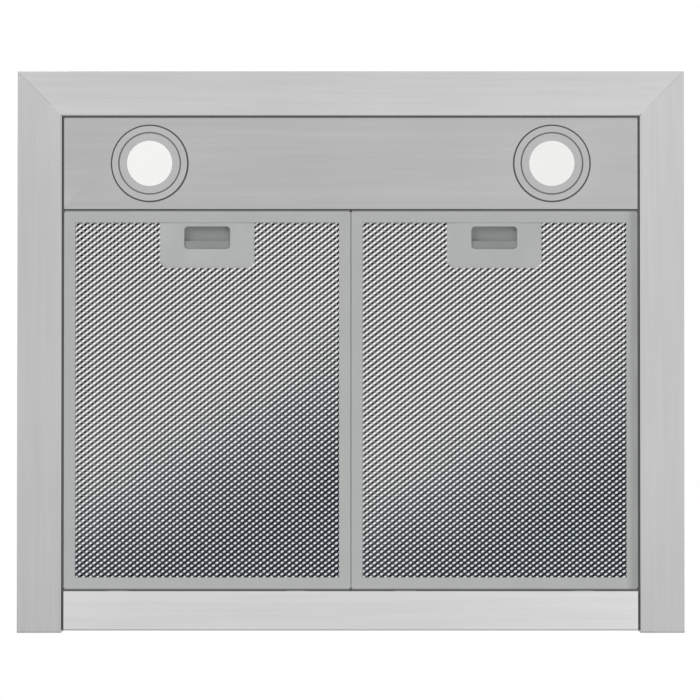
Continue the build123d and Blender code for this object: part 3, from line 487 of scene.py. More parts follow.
def brushed_steel(name, metal, along="X"):
    """Stainless sheet brushed along one axis, with a painted highlight where a bend begins to turn
    and painted shade further round it.

    Painted light makes a sheet brushed along X lighter to the right, and painted shade makes one
    brushed along Y darker to the rear and again just before its rear end.
    """
    sheets = sizes("sheets")
    surface = Surface(name, metallic=1.0)
    fine, stroke = 1 / sheets.grain, 1 / sheets.stroke
    grains = (stroke, fine, fine) if along == "X" else (fine, stroke, fine)
    lines = surface.noise(grains, 3.0, 0.6)
    streaks = surface.noise([part / 5 for part in grains])
    clouds = surface.noise(9)
    tone = 0.5 * lines + 0.3 * streaks + 0.2 * clouds
    # painted light: lighter to the right; painted shade: darker to the rear, and again before the
    # rear end
    if along == "X":
        left, right = CAD_BOX[0][0], CAD_BOX[1][0]
        tone = tone + surface.between(surface.axis("X"), left, right, -0.07, 0.07)
    else:
        end_shade = [CAD_BOX[1][1] - part for part in END_SHADE]
        tone = tone - surface.between(surface.axis("Y"), *REAR_SHADE, 0.0, 0.27)
        tone = tone - surface.between(surface.axis("Y"), *end_shade, 0.0, 0.2)
    stops = [(0.0, 0.6), (0.12, 0.83), (0.5, 1.0), (0.9, 1.18)]
    steel = surface.ramp(tone, [(place, shade(metal, part)) for place, part in stops])
    # painted highlight where a bend starts to turn, and painted shade further round it, by the
    # face's normal
    level = surface.part("XYZ", surface.node("ShaderNodeNewGeometry", output="Normal"), "Z")
    painted_fold_light = surface.ramp(level * level, [(0.35, 0.8), (0.82, 1.0), (0.93, 1.1), (0.995, 1.0)])
    surface.set("Base Color", surface.mix(1.0, steel, painted_fold_light, "MULTIPLY"))
    surface.rough(lines, 0.29, 0.39)
    surface.relief(lines, 0.02 * MM)
    return surface.material


def satin_metal(name, metal, roughness=0.38, shade_from=None):
    """Fine-blasted metal: an even grey, speckled and clouded, and darkened by painted shade past a
    place along X.
    """
    surface = Surface(name, metallic=1.0)
    speckle = surface.noise(900, 2.0, 0.6)
    clouds = surface.noise(25, 3.0)
    tone = 0.45 * speckle + 0.55 * clouds
    # painted shade across one rail's width past that place
    if shade_from:
        tone = tone - surface.between(surface.axis("X"), shade_from, shade_from + RAIL, 0.0, 0.65)
    surface.tint(tone, metal, [(0.0, 0.75), (0.35, 0.95), (0.65, 1.05)])
    surface.rough(clouds, roughness - 0.06, roughness + 0.06)
    surface.relief(speckle, 0.01 * MM)
    return surface.material


def galvanised(name, metal):
    """Zinc-coated sheet: flat crystals of slightly different greys, dulled in places."""
    surface = Surface(name, metallic=1.0)
    crystals = 1 / sizes("sheets").spangle
    wobble = surface.noise(60)
    grey = surface.part("Color", surface.cells(crystals, output="Color"), "Red")
    feathers = surface.noise((crystals * 6, crystals * 2, crystals * 6), 3.0, 0.65)
    tone = 0.55 * grey + 0.25 * feathers + 0.2 * wobble
    surface.tint(tone, metal, [(0.2, 0.9), (0.8, 1.1)])
    surface.rough(tone, 0.48, 0.34, (0.2, 0.8))
    surface.relief(feathers, 0.015 * MM)
    return surface.material


def moulded(name, plastic, roughness=0.5, pits=1400, depth=0.04 * MM):
    """Moulded plastic with a fine spark-eroded texture and a faint mottle."""
    surface = Surface(name)
    texture = surface.noise(pits, 2.0, 0.6)
    mottle = surface.noise(35, 3.0)
    surface.tint(0.4 * texture + 0.6 * mottle, plastic, [(0.3, 0.92), (0.7, 1.08)])
    surface.rough(mottle, roughness - 0.05, roughness + 0.07)
    surface.relief(texture, depth)
    return surface.material


def painted_moulding(name, paint):
    """The filters' handle plates: silver-grey paint with fine metal flake on a moulding."""
    surface = Surface(name, metallic=0.35)
    sparkle = surface.part("Color", surface.cells(2600, output="Color"), "Red")
    mottle = surface.noise(30)
    surface.tint(0.3 * sparkle + 0.7 * mottle, paint, [(0.3, 0.96), (0.7, 1.04)])
    surface.rough(sparkle, 0.36, 0.5, (0.0, 1.0))
    return surface.material


def enamel(name, paint):
    """Sprayed paint with a slight orange peel."""
    surface = Surface(name, coat_weight=0.2)
    peel = surface.noise(260, 1.0, 0.4)
    mottle = surface.noise(30, 3.0)
    surface.tint(mottle, paint, [(0.3, 0.85), (0.7, 1.2)])
    surface.rough(mottle, 0.3, 0.45)
    surface.relief(peel, 0.08 * MM)
    return surface.material


def frosted_lens(name, plastic, glow):
    """The lamps' lens: white, frosted, with a faint painted glow of its own and a fine prism
    pattern.
    """
    surface = Surface(name, roughness=0.45, emission_strength=glow)
    prisms = surface.cells(900, "SMOOTH_F1")
    frost = surface.noise(2200)
    light = surface.ramp(frost, [(0.3, (0.97, 0.97, 0.96)), (0.7, (1.0, 1.0, 0.99))])
    surface.tint(frost, plastic, [(0.3, 0.98), (0.7, 1.02)])
    surface.set("Emission Color", light)
    surface.relief(prisms, 0.06 * MM)
    return surface.material


def lamp_board(name, mask):
    """The lamps' boards: white solder mask with a yellow light source in the middle of each."""
    surface = Surface(name, roughness=0.4)
    centre = lamp_centre("right")
    spot = surface.node("ShaderNodeVectorMath", {"operation": "ABSOLUTE"}, {0: surface.place})
    across = surface.part("XYZ", spot, "X") - abs(centre.x)
    along = surface.part("XYZ", spot, "Y") - abs(centre.y)
    reach = across * across + along * along
    chip = 1 - surface.between(reach, (CHIP_R - CHIP_BLUR) ** 2, (CHIP_R + CHIP_BLUR) ** 2)
    traces = surface.noise(400, 1.0, 0.4)
    white = surface.ramp(traces, [(0.45, shade(mask, 0.93)), (0.55, rgba(mask))])
    surface.set("Base Color", surface.mix(chip, white, rgba(sizes("lamps").chip)))
    return surface.material


def fall_off(surface, centre_x):
    """How far a place lies towards a filter's rear right corner, where the painted shade lies; 0 is
    about the filter's middle.
    """
    low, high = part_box("filter_face_mesh_left")
    half_x, half_y = (high.x - low.x) / 2, (high.y - low.y) / 2
    centre = (centre_x, (low.y + high.y) / 2, 0)
    across = surface.axis("X", centre) * (1 / half_x)
    along = surface.axis("Y", centre) * (1 / half_y)
    drift = surface.noise(14, centre=(centre_x, 0, 0))
    return along + 0.4 * across + 0.3 * (drift - 0.5)


def painted_corner_shade(surface, fall):
    """A filter's rear right corner, darkened by painted shade and reflection: 1 there, and 0 over
    most of the front.
    """
    return surface.between(fall, -0.3, 0.88)


def mesh_metal(name, centre_x, corner):
    """Rolled aluminium strands, with a painted highlight on the strands that lean one way and
    painted shade on those that lean the other.

    Fewer strands get the painted highlight near the corner of painted shade, and the dim ones are
    paler in a band of painted reflection before it.
    """
    filters = sizes("filters")
    surface = Surface(name, metallic=1.0)
    fall = fall_off(surface, centre_x)
    far = painted_corner_shade(surface, fall)
    band = surface.between(fall, -0.4, 0.05) - surface.between(fall, 0.05, 0.5)
    turn_x = surface.axis("X", corner) * (tau / filters.across)
    turn_y = surface.axis("Y", corner) * (tau / filters.along)
    lean = surface.sine(turn_x) * surface.sine(turn_y)
    glint_and_roughness_noise = surface.noise(500, 2.0, 0.6)
    # which strands get the painted highlight: fewer near the corner of painted shade
    lit = surface.between(lean + 0.5 * (glint_and_roughness_noise - 0.5) - 0.27 * far, -0.39, 0.33)
    dim = surface.mix(far, rgba(filters.painted_strand_shade), rgba(filters.painted_strand_shade_far))
    bright = surface.mix(far, rgba(filters.painted_strand_glint), rgba(filters.painted_strand_glint_far))
    softer = surface.mix(0.05 * band, dim, bright)
    surface.set("Base Color", surface.mix(lit, softer, bright))
    surface.rough(glint_and_roughness_noise, 0.26, 0.4)
    return surface.material


def core_metal(name, centre_x):
    """The corrugated layer behind the face mesh, painted dark as the shadow it lies in, with painted
    glints, and darker still towards the rear right corner by painted shade.
    """
    filters = sizes("filters")
    surface = Surface(name, metallic=1.0)
    far = painted_corner_shade(surface, fall_off(surface, centre_x))
    threads = surface.cells(420)
    grains = surface.noise(900, 2.0, 0.6)
    tone = 0.7 * threads + 0.3 * grains - 0.3 * far
    stops = [(0.0, filters.core_dark), (0.3, filters.core_grey), (0.75, filters.core_light)]
    surface.set("Base Color", surface.ramp(tone, stops))
    surface.rough(tone, 0.4, 0.6, (0.2, 0.8))
    surface.relief(threads, 0.3 * MM)
    return surface.material


# ------------------------------------------------------------------ pieces
SKIN = 0.02 * MM  # how far a hem lies above the sheet's own face, over the bend that it hides
HEM_DEPTH = 3.0 * MM  # height of a hem's edge in the gap
SEAL_LOW, SEAL_HIGH = 2.4 * MM, 4.2 * MM  # heights of the seals above the trim's face
SEAL_CLEAR = 0.1 * MM  # room between a seal and the metal beside it
LIP = 1.0 * MM  # thickness of the lip on a filter's front edge
FLANGE = 9.4 * MM  # frame that covers a mesh's edge, from the filter's outline
PLATE_CORNER = 4.8 * MM  # cut corners of a handle plate


def lamp_centre(side):
    """Middle of a lamp, at the height of its bezel's face."""
    low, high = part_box("lamp_bezels")
    radius = (high.y - low.y) / 2
    return Vector((SIDES[side] * (high.x - radius), (low.y + high.y) / 2, low.z))


def turned(centre, profile, steps):
    """A turned piece: a ring of edges extruded from one (radius, height) pair to the next."""
    (radius, height), *rest = profile
    settle()
    start = (centre.x, centre.y, height)
    bpy.ops.mesh.primitive_circle_add(vertices=steps, radius=radius, location=start)
    piece = bpy.context.object
    edit(piece)
    for new_radius, new_height in rest:
        lift = {"value": (0, 0, new_height - height)}
        bpy.ops.mesh.extrude_edges_move(TRANSFORM_OT_translate=lift)
        factor = new_radius / radius
        middle = (centre.x, centre.y, new_height)
        bpy.ops.transform.resize(value=(factor, factor, 1), center_override=middle)
        radius, height = new_radius, new_height
    return piece


def closed(piece):
    """Merges what meets and points the faces outwards."""
    bpy.ops.mesh.select_all(action="SELECT")
    bpy.ops.mesh.remove_doubles(threshold=PIECE_MERGE)
    bpy.ops.mesh.normals_make_consistent(inside=False)
    settle()
    return piece


def ring(centre, inner, outer, low, high, edge, steps):
    """A flat turned ring whose lower edges are rounded by two facets."""
    bend = 0.3 * edge
    profile = [(inner, high), (inner, low + edge), (inner + bend, low + bend), (inner + edge, low),
               (outer - edge, low), (outer - bend, low + bend), (outer, low + edge), (outer, high),
               (inner, high)]
    return closed(turned(centre, profile, steps))


def lens_disc(centre, radius, low, high, steps):
    """A frosted disc with a rolled rim and a slightly crowned face."""
    crown, middle = 0.25 * MM, 0.05 * radius
    rim = low + crown
    profile = [(middle, high), (radius, high), (radius, rim + 0.5 * MM),
               (radius - 0.15 * MM, rim + 0.15 * MM), (radius - 0.6 * MM, rim),
               (0.7 * radius, low + 0.45 * crown), (0.35 * radius, low + 0.12 * crown),
               (middle, low)]
    disc = turned(centre, profile, steps)
    bpy.ops.mesh.merge(type="CENTER")
    pick(disc, lambda edge: edge.is_boundary, "EDGE")
    bpy.ops.mesh.merge(type="CENTER")
    return closed(disc)


def lamp_pieces():
    """Bezels, gaskets and lenses, which stand for the nodes' plain rings and discs."""
    lamps = sizes("lamps")
    low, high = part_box("lamp_bezels")
    outer = (high.y - low.y) / 2
    can_low, can_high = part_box("lamp_bodies")
    can_r = (can_high.y - can_low.y) / 2
    lens_low, lens_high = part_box("lamp_lenses")
    lens_r = (lens_high.y - lens_low.y) / 2
    lens_depth, rubber_edge, rubber_clear = 1.5 * MM, 0.05 * MM, 0.1 * MM
    below, above = high.z - 0.35 * MM, high.z - 0.01 * MM
    bezels, gaskets, seals, lenses = [], [], [], []
    for side in SIDES:
        centre = lamp_centre(side)
        bezels.append(ring(centre, can_r + lamps.gasket, outer - lamps.gasket, low.z, high.z,
                           lamps.round_edge, lamps.steps))
        gaskets.append(ring(centre, outer - 2 * lamps.gasket, outer, below, above, rubber_edge,
                            lamps.steps))
        seals.append(ring(centre, can_r + rubber_clear, can_r + 2 * lamps.gasket, below, above,
                          rubber_edge, lamps.steps))
        lenses.append(lens_disc(centre, lens_r, lens_low.z, lens_low.z + lens_depth, lamps.steps))
    finish = satin_metal("lamp_bezel", lamps.bezel, 0.33)
    rings = dress(joined(bezels), "lamp_bezel_rings", "hood", "lamp_bezel", finish, "lamp_bezels")
    # rubber whose greys are also painted shade for the dark lines round each bezel
    rubber = moulded("gasket_rubber", lamps.gasket_grey, 0.7)
    dress(joined(gaskets), "lamp_gaskets", "hood", "relief_plastic", rubber)
    pale = moulded("can_seal_rubber", lamps.can_seal, 0.7)
    dress(joined(seals), "lamp_can_seals", "hood", "relief_plastic", pale)
    frost = frosted_lens("lamp_lens", lamps.lens, lamps.glow)
    discs = dress(joined(lenses), "lamp_lens_discs", "hood", "lamp_lens", frost)
    for piece in (rings, discs):
        choose(piece)
        bpy.ops.object.shade_smooth_by_angle(angle=radians(35))
    paint(frost, "lamp_lenses")
    paint(satin_metal("lamp_can", lamps.can), "lamp_bodies")
    paint(lamp_board("lamp_board", sizes("plastics").board), "lamp_boards")
    paint(satin_metal("clip_steel", sizes("plastics").spring, 0.3), "lamp_clips")


def at_tip(point, corner, half_x, half_y, sign):
    """Whether a point is the front (-1) or rear (1) tip of the hole in a diamond."""
    across = abs(point.x - corner.x) / half_x
    along = sign * (point.y - corner.y) / half_y
    return across < 0.1 and 0.1 < along < 0.99


def mesh_cell(corner):
    """One diamond of expanded metal, round a hole whose front tip dips and rear tip rises."""
    filters = sizes("filters")
    half_x, half_y = filters.across / 2, filters.along / 2
    settle()
    bpy.ops.mesh.primitive_circle_add(vertices=4, radius=1, fill_type="NGON", location=corner)
    cell = bpy.context.object
    cell.scale = (half_x, half_y, 1)
    place(cell)
    edit(cell)
    reach = half_x * half_y / hypot(half_x, half_y)
    bpy.ops.mesh.inset(thickness=filters.strand * reach, use_boundary=True)
    bpy.ops.mesh.delete(type="FACE")
    for sign in (-1, 1):
        pick(cell, lambda v: at_tip(v.co, corner, half_x, half_y, sign), "VERT")
        bpy.ops.transform.translate(value=(0, 0, sign * filters.tilt))
    settle()
    return cell


def repeated(cell, count_x, count_y):
    """Copies a cell into rows and columns, and then once more half a cell on."""
    filters = sizes("filters")
    rows = (count_x, (filters.across, 0, 0)), (count_y, (0, filters.along, 0))
    for count, shift in rows:
        modify(cell, "ARRAY", count=count, use_relative_offset=False, use_constant_offset=True,
               constant_offset_displace=shift)
    choose(cell)
    bpy.ops.object.duplicate()
    shifted = bpy.context.object
    shifted.location = (filters.across / 2, filters.along / 2, 0)
    place(shifted)
    both = joined([cell, shifted])
    edit(both)
    bpy.ops.mesh.remove_doubles(threshold=MESH_MERGE)
    return both


def cut(point, direction):
    """Cuts the piece in edit mode by a plane, and takes off what lies on the direction's side."""
    bpy.ops.mesh.select_mode(type="FACE")
    bpy.ops.mesh.select_all(action="SELECT")
    bpy.ops.mesh.bisect(plane_co=point, plane_no=direction, clear_outer=True, use_fill=False)


def inside(point, sides):
    """Whether a point lies behind every one of some planes."""
    return all((point - Vector(spot)).dot(Vector(direction)) < 0 for spot, direction in sides)


def cut_out(piece, sides):
    """Takes out what lies inside all of some planes, and cuts only the faces near them."""
    pitch = sizes("filters").across
    near = [(Vector(spot) + pitch * Vector(direction).normalized(), direction)
            for spot, direction in sides]
    for spot, direction in sides:
        pick(piece, lambda face: inside(face.calc_center_median(), near))
        bpy.ops.mesh.bisect(plane_co=spot, plane_no=direction)
    pick(piece, lambda face: inside(face.calc_center_median(), sides))
    bpy.ops.mesh.delete(type="FACE")


def mesh_corner(side):
    """Front left and rear right corners of a filter's meshes, just under the frame's flange."""
    low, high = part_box(f"filter_frame_{side}")
    cover = Vector((FLANGE, FLANGE, 0))
    return low + cover, high - cover


def expanded_mesh(side, node, name, middle_z, finish, window=()):
    """A sheet of expanded mesh inside the frame's flange, less what a window's planes enclose."""
    filters = sizes("filters")
    (x0, y0, _), (x1, y1, _) = mesh_corner(side)
    count_x = int((x1 - x0) / filters.across) + 2
    count_y = int((y1 - y0) / filters.along) + 2
    sheet = repeated(mesh_cell(Vector((x0, y0, middle_z))), count_x, count_y)
    cut((x0, 0, 0), (-1, 0, 0))
    cut((x1, 0, 0), (1, 0, 0))
    cut((0, y0, 0), (0, -1, 0))
    cut((0, y1, 0), (0, 1, 0))
    if window:
        cut_out(sheet, window)
    modify(sheet, "SOLIDIFY", thickness=filters.sheet, offset=0.0)
    return dress(sheet, name, f"filter_{side}", "filter_mesh", finish, node)


def strip(x0, x1, y0, y1, z0, z1):
    """A strip with rounded lower edges, between two corners."""
    round_edge = min(0.15 * MM, 0.25 * min(x1 - x0, y1 - y0))
    settle()
    middle = ((x0 + x1) / 2, (y0 + y1) / 2, (z0 + z1) / 2)
    bpy.ops.mesh.primitive_cube_add(size=1, location=middle)
    piece = bpy.context.object
    piece.scale = (x1 - x0, y1 - y0, z1 - z0)
    place(piece)
    edit(piece)
    pick(piece, lambda edge: all(abs(v.co.z - z0) < 1e-6 for v in edge.verts), "EDGE")
    bpy.ops.mesh.bevel(offset=round_edge, segments=2, affect="EDGES")
    settle()
    return piece


def hem_pieces():
    """Folded edges of the trims and the lamp panel, flush with their faces, in lighter steel as a
    painted highlight on each bend, and darker on the rear strip as painted shade.
    """
    sheets = sizes("sheets")
    panel_low, panel_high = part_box("light_panel")
    left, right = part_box("trim_left")[1].x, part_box("trim_right")[0].x
    front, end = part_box("trim_front")[1].y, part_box("trim_rear")[1].y
    hem = sheets.hem
    # each hem's share of its steel is painted light: above 1 a painted highlight, below 1 painted
    # shade
    hems = [("trim_front", [(left, right, front - hem, front)], sheets.front_lit_steel, 1.06, "X"),
            ("trim_left", [(left - hem, left, front, end)], sheets.left_lit_steel, 1.06, "Y"),
            ("trim_right", [(right, right + hem, front, end)], sheets.right_lit_steel, 1.03, "Y"),
            ("trim_rear", [(panel_low.x, panel_high.x, end - hem, end)],
             sheets.rear_lit_steel, 0.72, "X"),
            ("light_panel", [(panel_low.x, panel_high.x, panel_low.y, panel_low.y + hem),
                             (panel_low.x, panel_high.x, panel_high.y - hem, panel_high.y)],
             sheets.panel_steel, 1.04, "X")]
    for node, spans, metal, tone, along in hems:
        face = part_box(node)[0].z + SKIN
        strips = joined([strip(*span, face, face + HEM_DEPTH) for span in spans])
        steel = brushed_steel(f"{node}_hem_steel", shade(metal, tone)[:3], along)
        dress(strips, f"{node}_hem", "hood", node_slot(node), steel)


def seal_pieces():
    """Rubber seals round the lamp panel and the filters, and on the filters' own edges, whose grey
    is also painted shade for the gaps.
    """
    panel_low, panel_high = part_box("light_panel")
    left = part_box("trim_left")[1].x + SEAL_CLEAR
    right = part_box("trim_right")[0].x - SEAL_CLEAR
    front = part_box("trim_front")[1].y + SEAL_CLEAR
    rear_low, rear_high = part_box("trim_rear")
    end = rear_high.y - SEAL_CLEAR
    rubber = moulded("seal_rubber", sizes("filters").seal, 0.75, 700)
    seals = [strip(left, right, front, panel_low.y - SEAL_CLEAR, SEAL_LOW, SEAL_HIGH),
             strip(left, panel_low.x - SEAL_CLEAR, panel_low.y, end, SEAL_LOW, SEAL_HIGH),
             strip(panel_high.x + SEAL_CLEAR, right, panel_low.y, end, SEAL_LOW, SEAL_HIGH)]
    dress(joined(seals), "gap_seals", "hood", "relief_plastic", rubber)
    front_lip, rear_lip = panel_high.y + 4 * SEAL_CLEAR, rear_low.y - 3 * SEAL_CLEAR
    for side in SIDES:
        low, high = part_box(f"filter_frame_{side}")
        lips = [strip(low.x, high.x, front_lip, low.y, SEAL_LOW, SEAL_LOW + LIP),
                strip(low.x, high.x, high.y, rear_lip, low.z + SEAL_CLEAR, SEAL_LOW)]
        dress(joined(lips), f"filter_seals_{side}", f"filter_{side}", "relief_plastic", rubber)


def filter_sheets(side):
    """A filter's core and its face and back meshes, the face mesh cut out for the handle plate."""
    filters = sizes("filters")
    frame_low, frame_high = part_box(f"filter_frame_{side}")
    plate_low, plate_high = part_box(f"handle_plate_{side}")
    middle = (frame_low.x + frame_high.x) / 2
    strands = mesh_metal(f"filter_mesh_{side}", middle, mesh_corner(side)[0])
    core = core_metal(f"filter_core_{side}", middle)
    left, right, rear = plate_low.x, plate_high.x, plate_high.y
    window = [((left, 0, 0), (-1, 0, 0)), ((right, 0, 0), (1, 0, 0)), ((0, rear, 0), (0, 1, 0)),
              ((left + PLATE_CORNER, rear, 0), (-1, 1, 0)),
              ((right - PLATE_CORNER, rear, 0), (1, 1, 0))]
    face_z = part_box(f"filter_face_mesh_{side}")[0].z + filters.sheet / 2
    back_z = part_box(f"filter_back_mesh_{side}")[1].z - filters.tilt
    expanded_mesh(side, f"filter_face_mesh_{side}", f"face_mesh_{side}", face_z, strands, window)
    expanded_mesh(side, f"filter_back_mesh_{side}", f"back_mesh_{side}", back_z, strands)
    paint(core, f"filter_core_{side}")


def filter_pieces():
    """Meshes, frames, handle plates, latches and their springs."""
    filters = sizes("filters")
    handle = painted_moulding("handle_plate", filters.handle)
    latch = moulded("latch_slider", filters.latch, 0.5, 1100, 0.02 * MM)
    spring = satin_metal("latch_spring", sizes("plastics").spring, 0.3)
    for side in SIDES:
        filter_sheets(side)
        # the right frame gets painted shade along its outer rail
        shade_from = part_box("filter_frame_right")[1].x - RAIL if side == "right" else None
        metal = satin_metal(f"filter_aluminium_{side}", filters.frame_metal, 0.36, shade_from)
        edged(f"filter_frame_{side}", metal, 0.25 * MM)
        edged(f"handle_plate_{side}", handle, 0.3 * MM)
        edged(f"latch_slider_{side}", latch, 0.6 * MM)
        paint(metal, f"filter_tabs_{side}")
        leaf = edged(f"latch_spring_{side}", spring, 0.05 * MM)
        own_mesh(leaf)
    low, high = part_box("filter_frame_left")
    cover = strip(high.x, high.x + 0.5 * MM, low.y, high.y, low.z + 0.3 * MM, low.z + 3 * MM)
    dress(cover, "filter_meeting_strip", "filter_left", node_slot("filter_frame_left"),
          satin_metal("meeting_strip", filters.frame_metal, 0.36))


def sheet_pieces():
    """Trims, lamp panel, air chamber and blower box, as folded sheets with rounded edges."""
    sheets = sizes("sheets")
    fine = 0.1 * MM
    edged("trim_front", brushed_steel("trim_front_steel", sheets.front_lit_steel), fine)
    edged("trim_left", brushed_steel("trim_left_steel", sheets.left_lit_steel, "Y"), fine)
    edged("trim_right", brushed_steel("trim_right_steel", sheets.right_lit_steel, "Y"), fine)
    edged("trim_rear", brushed_steel("trim_rear_steel", sheets.rear_lit_steel))
    edged("light_panel", brushed_steel("lamp_panel_steel", sheets.panel_steel), fine)
    zinc = galvanised("galvanised_sheet", sheets.zinc)
    for node in ("body_front", "body_rear", "body_left", "body_right", "body_top", "divider_wall",
                 "rear_ledge", "blower_box", "blower_box_top", "cabinet_bracket_left",
                 "cabinet_bracket_right"):
        edged(node, zinc)
    paint(zinc, "corner_gussets", "motor_bracket")
    paint(galvanised("wheel_zinc", shade(sheets.zinc, 0.9)), "impeller")
    paint(satin_metal("shaft_steel", sizes("plastics").shaft, 0.2), "motor_shaft")


def moulded_pieces():
    """Collar, damper, control box and the blower's moulded and painted parts."""
    plastics = sizes("plastics")
    black = moulded("collar_moulding", plastics.black, 0.48)
    for node in ("outlet_collar", "damper_flap_left", "damper_flap_right"):
        edged(node, black, 0.5 * MM)
    box = moulded("control_moulding", plastics.black, 0.42, 900, 0.06 * MM)
    for node in ("control_box", "control_box_lid"):
        edged(node, box, 0.8 * MM)
    edged("strain_relief", moulded("relief_moulding", plastics.black, 0.55), 0.8 * MM)
    edged("led_driver", moulded("driver_moulding", plastics.driver, 0.4), 1 * MM)
    edged("run_capacitor", moulded("capacitor_moulding", plastics.capacitor, 0.35), 1 * MM)
    edged("motor", enamel("motor_enamel", plastics.motor), 1 * MM)
    paint(moulded("scroll_moulding", plastics.scroll, 0.45), "scroll_left", "scroll_right")


# ------------------------------------------------------------------ screws
RIM = 0.45  # share of a head's height that is its upright rim
CROWN = ((0.35, 0.86), (0.2, 0.62))  # rises above the rim, and what the face narrows to at each
ARM = 0.42  # reach of the recess's arms, as a share of the head's radius
TAPER = 0.8  # what the recess narrows to at its bottom
HEAD_TURN = 0.9  # turn in radians from one screw of a row to the next
THIN_SHEET, THICK_SHEET, COLLAR_FLANGE = 1.0 * MM, 1.5 * MM, 2.5 * MM
UP = (0, 0, 1)


def screw_head():
    """A pan head with a cross recess, standing on the origin."""
    screws = sizes("screws")
    rim, radius = RIM * screws.head_h, screws.head_r
    settle()
    bpy.ops.mesh.primitive_cylinder_add(vertices=20, radius=radius, depth=rim,
                                        location=(0, 0, rim / 2))
    head = bpy.context.object
    edit(head)
    pick(head, faces_up)
    for rise, narrowing in CROWN:
        lift = {"value": (0, 0, rise * screws.head_h)}
        bpy.ops.mesh.extrude_region_move(TRANSFORM_OT_translate=lift)
        bpy.ops.transform.resize(value=(narrowing, narrowing, 1), center_override=(0, 0, 0))
    half, arm = screws.slot / 2, ARM * radius
    for offset in (-arm, -half, half, arm):
        for direction in ((1, 0, 0), (0, 1, 0)):
            pick(head, faces_up)
            point = [offset * part for part in direction]
            bpy.ops.mesh.bisect(plane_co=point, plane_no=direction)
    pick(head, lambda face: faces_up(face) and in_cross(face.calc_center_median(), half, arm))
    bpy.ops.mesh.extrude_region_move(TRANSFORM_OT_translate={"value": (0, 0, -screws.depth)})
    bpy.ops.transform.resize(value=(TAPER, TAPER, 1), center_override=(0, 0, 0))
    return closed(head)


def faces_up(face):
    """Whether a face looks straight up."""
    return face.normal.z > 0.99


def in_cross(point, half, arm):
    """Whether a point lies in one of the recess's four arms."""
    near, far = sorted((abs(point.x), abs(point.y)))
    return near < half and far < arm


def screw_row(name, body, head, spots):
    """Copies a head to each spot, a point and an outward direction, as one piece."""
    copies = []
    for index, (point, direction) in enumerate(spots):
        copy = bpy.data.objects.new(name, head.data.copy())
        bpy.context.collection.objects.link(copy)
        turn = Matrix.Rotation(HEAD_TURN * index, 4, "Z")
        lean = Vector(direction).to_track_quat("Z", "Y").to_matrix().to_4x4()
        copy.matrix_world = Matrix.Translation(point) @ lean @ turn
        copies.append(copy)
    plating = satin_metal(f"{name}_plating", sizes("screws").metal, 0.25)
    return dress(joined(copies), name, body, "shaft_steel", plating)


def spread(low, high, count, margin):
    """Places along an edge, the first and last a margin from its ends."""
    step = (high - low - 2 * margin) / (count - 1)
    return [low + margin + step * index for index in range(count)]


def around(node, z, inset, counts, margin):
    """Spots on a level flange, a distance inside a node's outline."""
    low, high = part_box(node)
    spots = []
    for x in spread(low.x, high.x, counts[0], margin):
        spots += [((x, low.y + inset, z), UP), ((x, high.y - inset, z), UP)]
    for y in spread(low.y, high.y, counts[1], margin):
        spots += [((low.x + inset, y, z), UP), ((high.x - inset, y, z), UP)]
    return spots


def corners(node, z, inset):
    """Spots at a node's four corners, a distance inside its outline."""
    low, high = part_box(node)
    return [((x, y, z), UP) for x in (low.x + inset, high.x - inset)
            for y in (low.y + inset, high.y - inset)]


def beside(node, z, counts, margin):
    """Spots on a node's four upright walls, facing outwards."""
    low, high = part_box(node)
    spots = []
    for x in spread(low.x, high.x, counts[0], margin):
        spots += [((x, low.y, z), (0, -1, 0)), ((x, high.y, z), (0, 1, 0))]
    for y in spread(low.y, high.y, counts[1], margin):
        spots += [((low.x, y, z), (-1, 0, 0)), ((high.x, y, z), (1, 0, 0))]
    return spots


def lip_spots():
    """Spots on the trims' upright lips, in front of the air chamber and beside it."""
    front_low, front_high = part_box("body_front")
    z = front_low.z + 8.5 * MM
    y = front_low.y - THIN_SHEET
    spots = [((x, y, z), (0, -1, 0)) for x in spread(front_low.x, front_high.x, 5, 20 * MM)]
    for side, sign in SIDES.items():
        low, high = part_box(f"body_{side}")
        x = (low.x if sign < 0 else high.x) + sign * THIN_SHEET
        spots += [((x, y, z), (sign, 0, 0)) for y in spread(low.y, high.y, 4, 21 * MM)]
    return spots


def bracket_spots():
    """Spots on the foot of each cabinet bracket, against the air chamber's wall."""
    spots = []
    for side, sign in SIDES.items():
        low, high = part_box(f"cabinet_bracket_{side}")
        x = (high.x if sign < 0 else low.x) + sign * THICK_SHEET
        z = low.z + 8 * MM
        spots += [((x, y, z), (sign, 0, 0)) for y in spread(low.y, high.y, 3, 20 * MM)]
    return spots


def screw_pieces():
    """Screws of the blower box and its lid, collar, control box, brackets and trims."""
    head = screw_head()
    flange_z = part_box("body_top")[1].z + THIN_SHEET
    lid_low, lid_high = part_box("blower_box_top")
    lid_z = (lid_low.z + lid_high.z) / 2
    control_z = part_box("control_box_lid")[1].z
    rows = {"blower_box_screws": around("blower_box", flange_z, 6 * MM, (4, 3), 40 * MM),
            "blower_lid_screws": beside("blower_box_top", lid_z, (3, 3), 45 * MM),
            "collar_screws": corners("outlet_collar", lid_high.z + COLLAR_FLANGE, 16 * MM),
            "control_lid_screws": corners("control_box_lid", control_z, 8 * MM),
            "bracket_screws": bracket_spots(),
            "trim_lip_screws": lip_spots()}
    for name, spots in rows.items():
        screw_row(name, "hood", head, spots)
    bpy.data.objects.remove(head)


# ------------------------------------------------------------------ stage
TARGET = (0, 0, 0.1)  # what the lights face
FAR_CLIP = 200


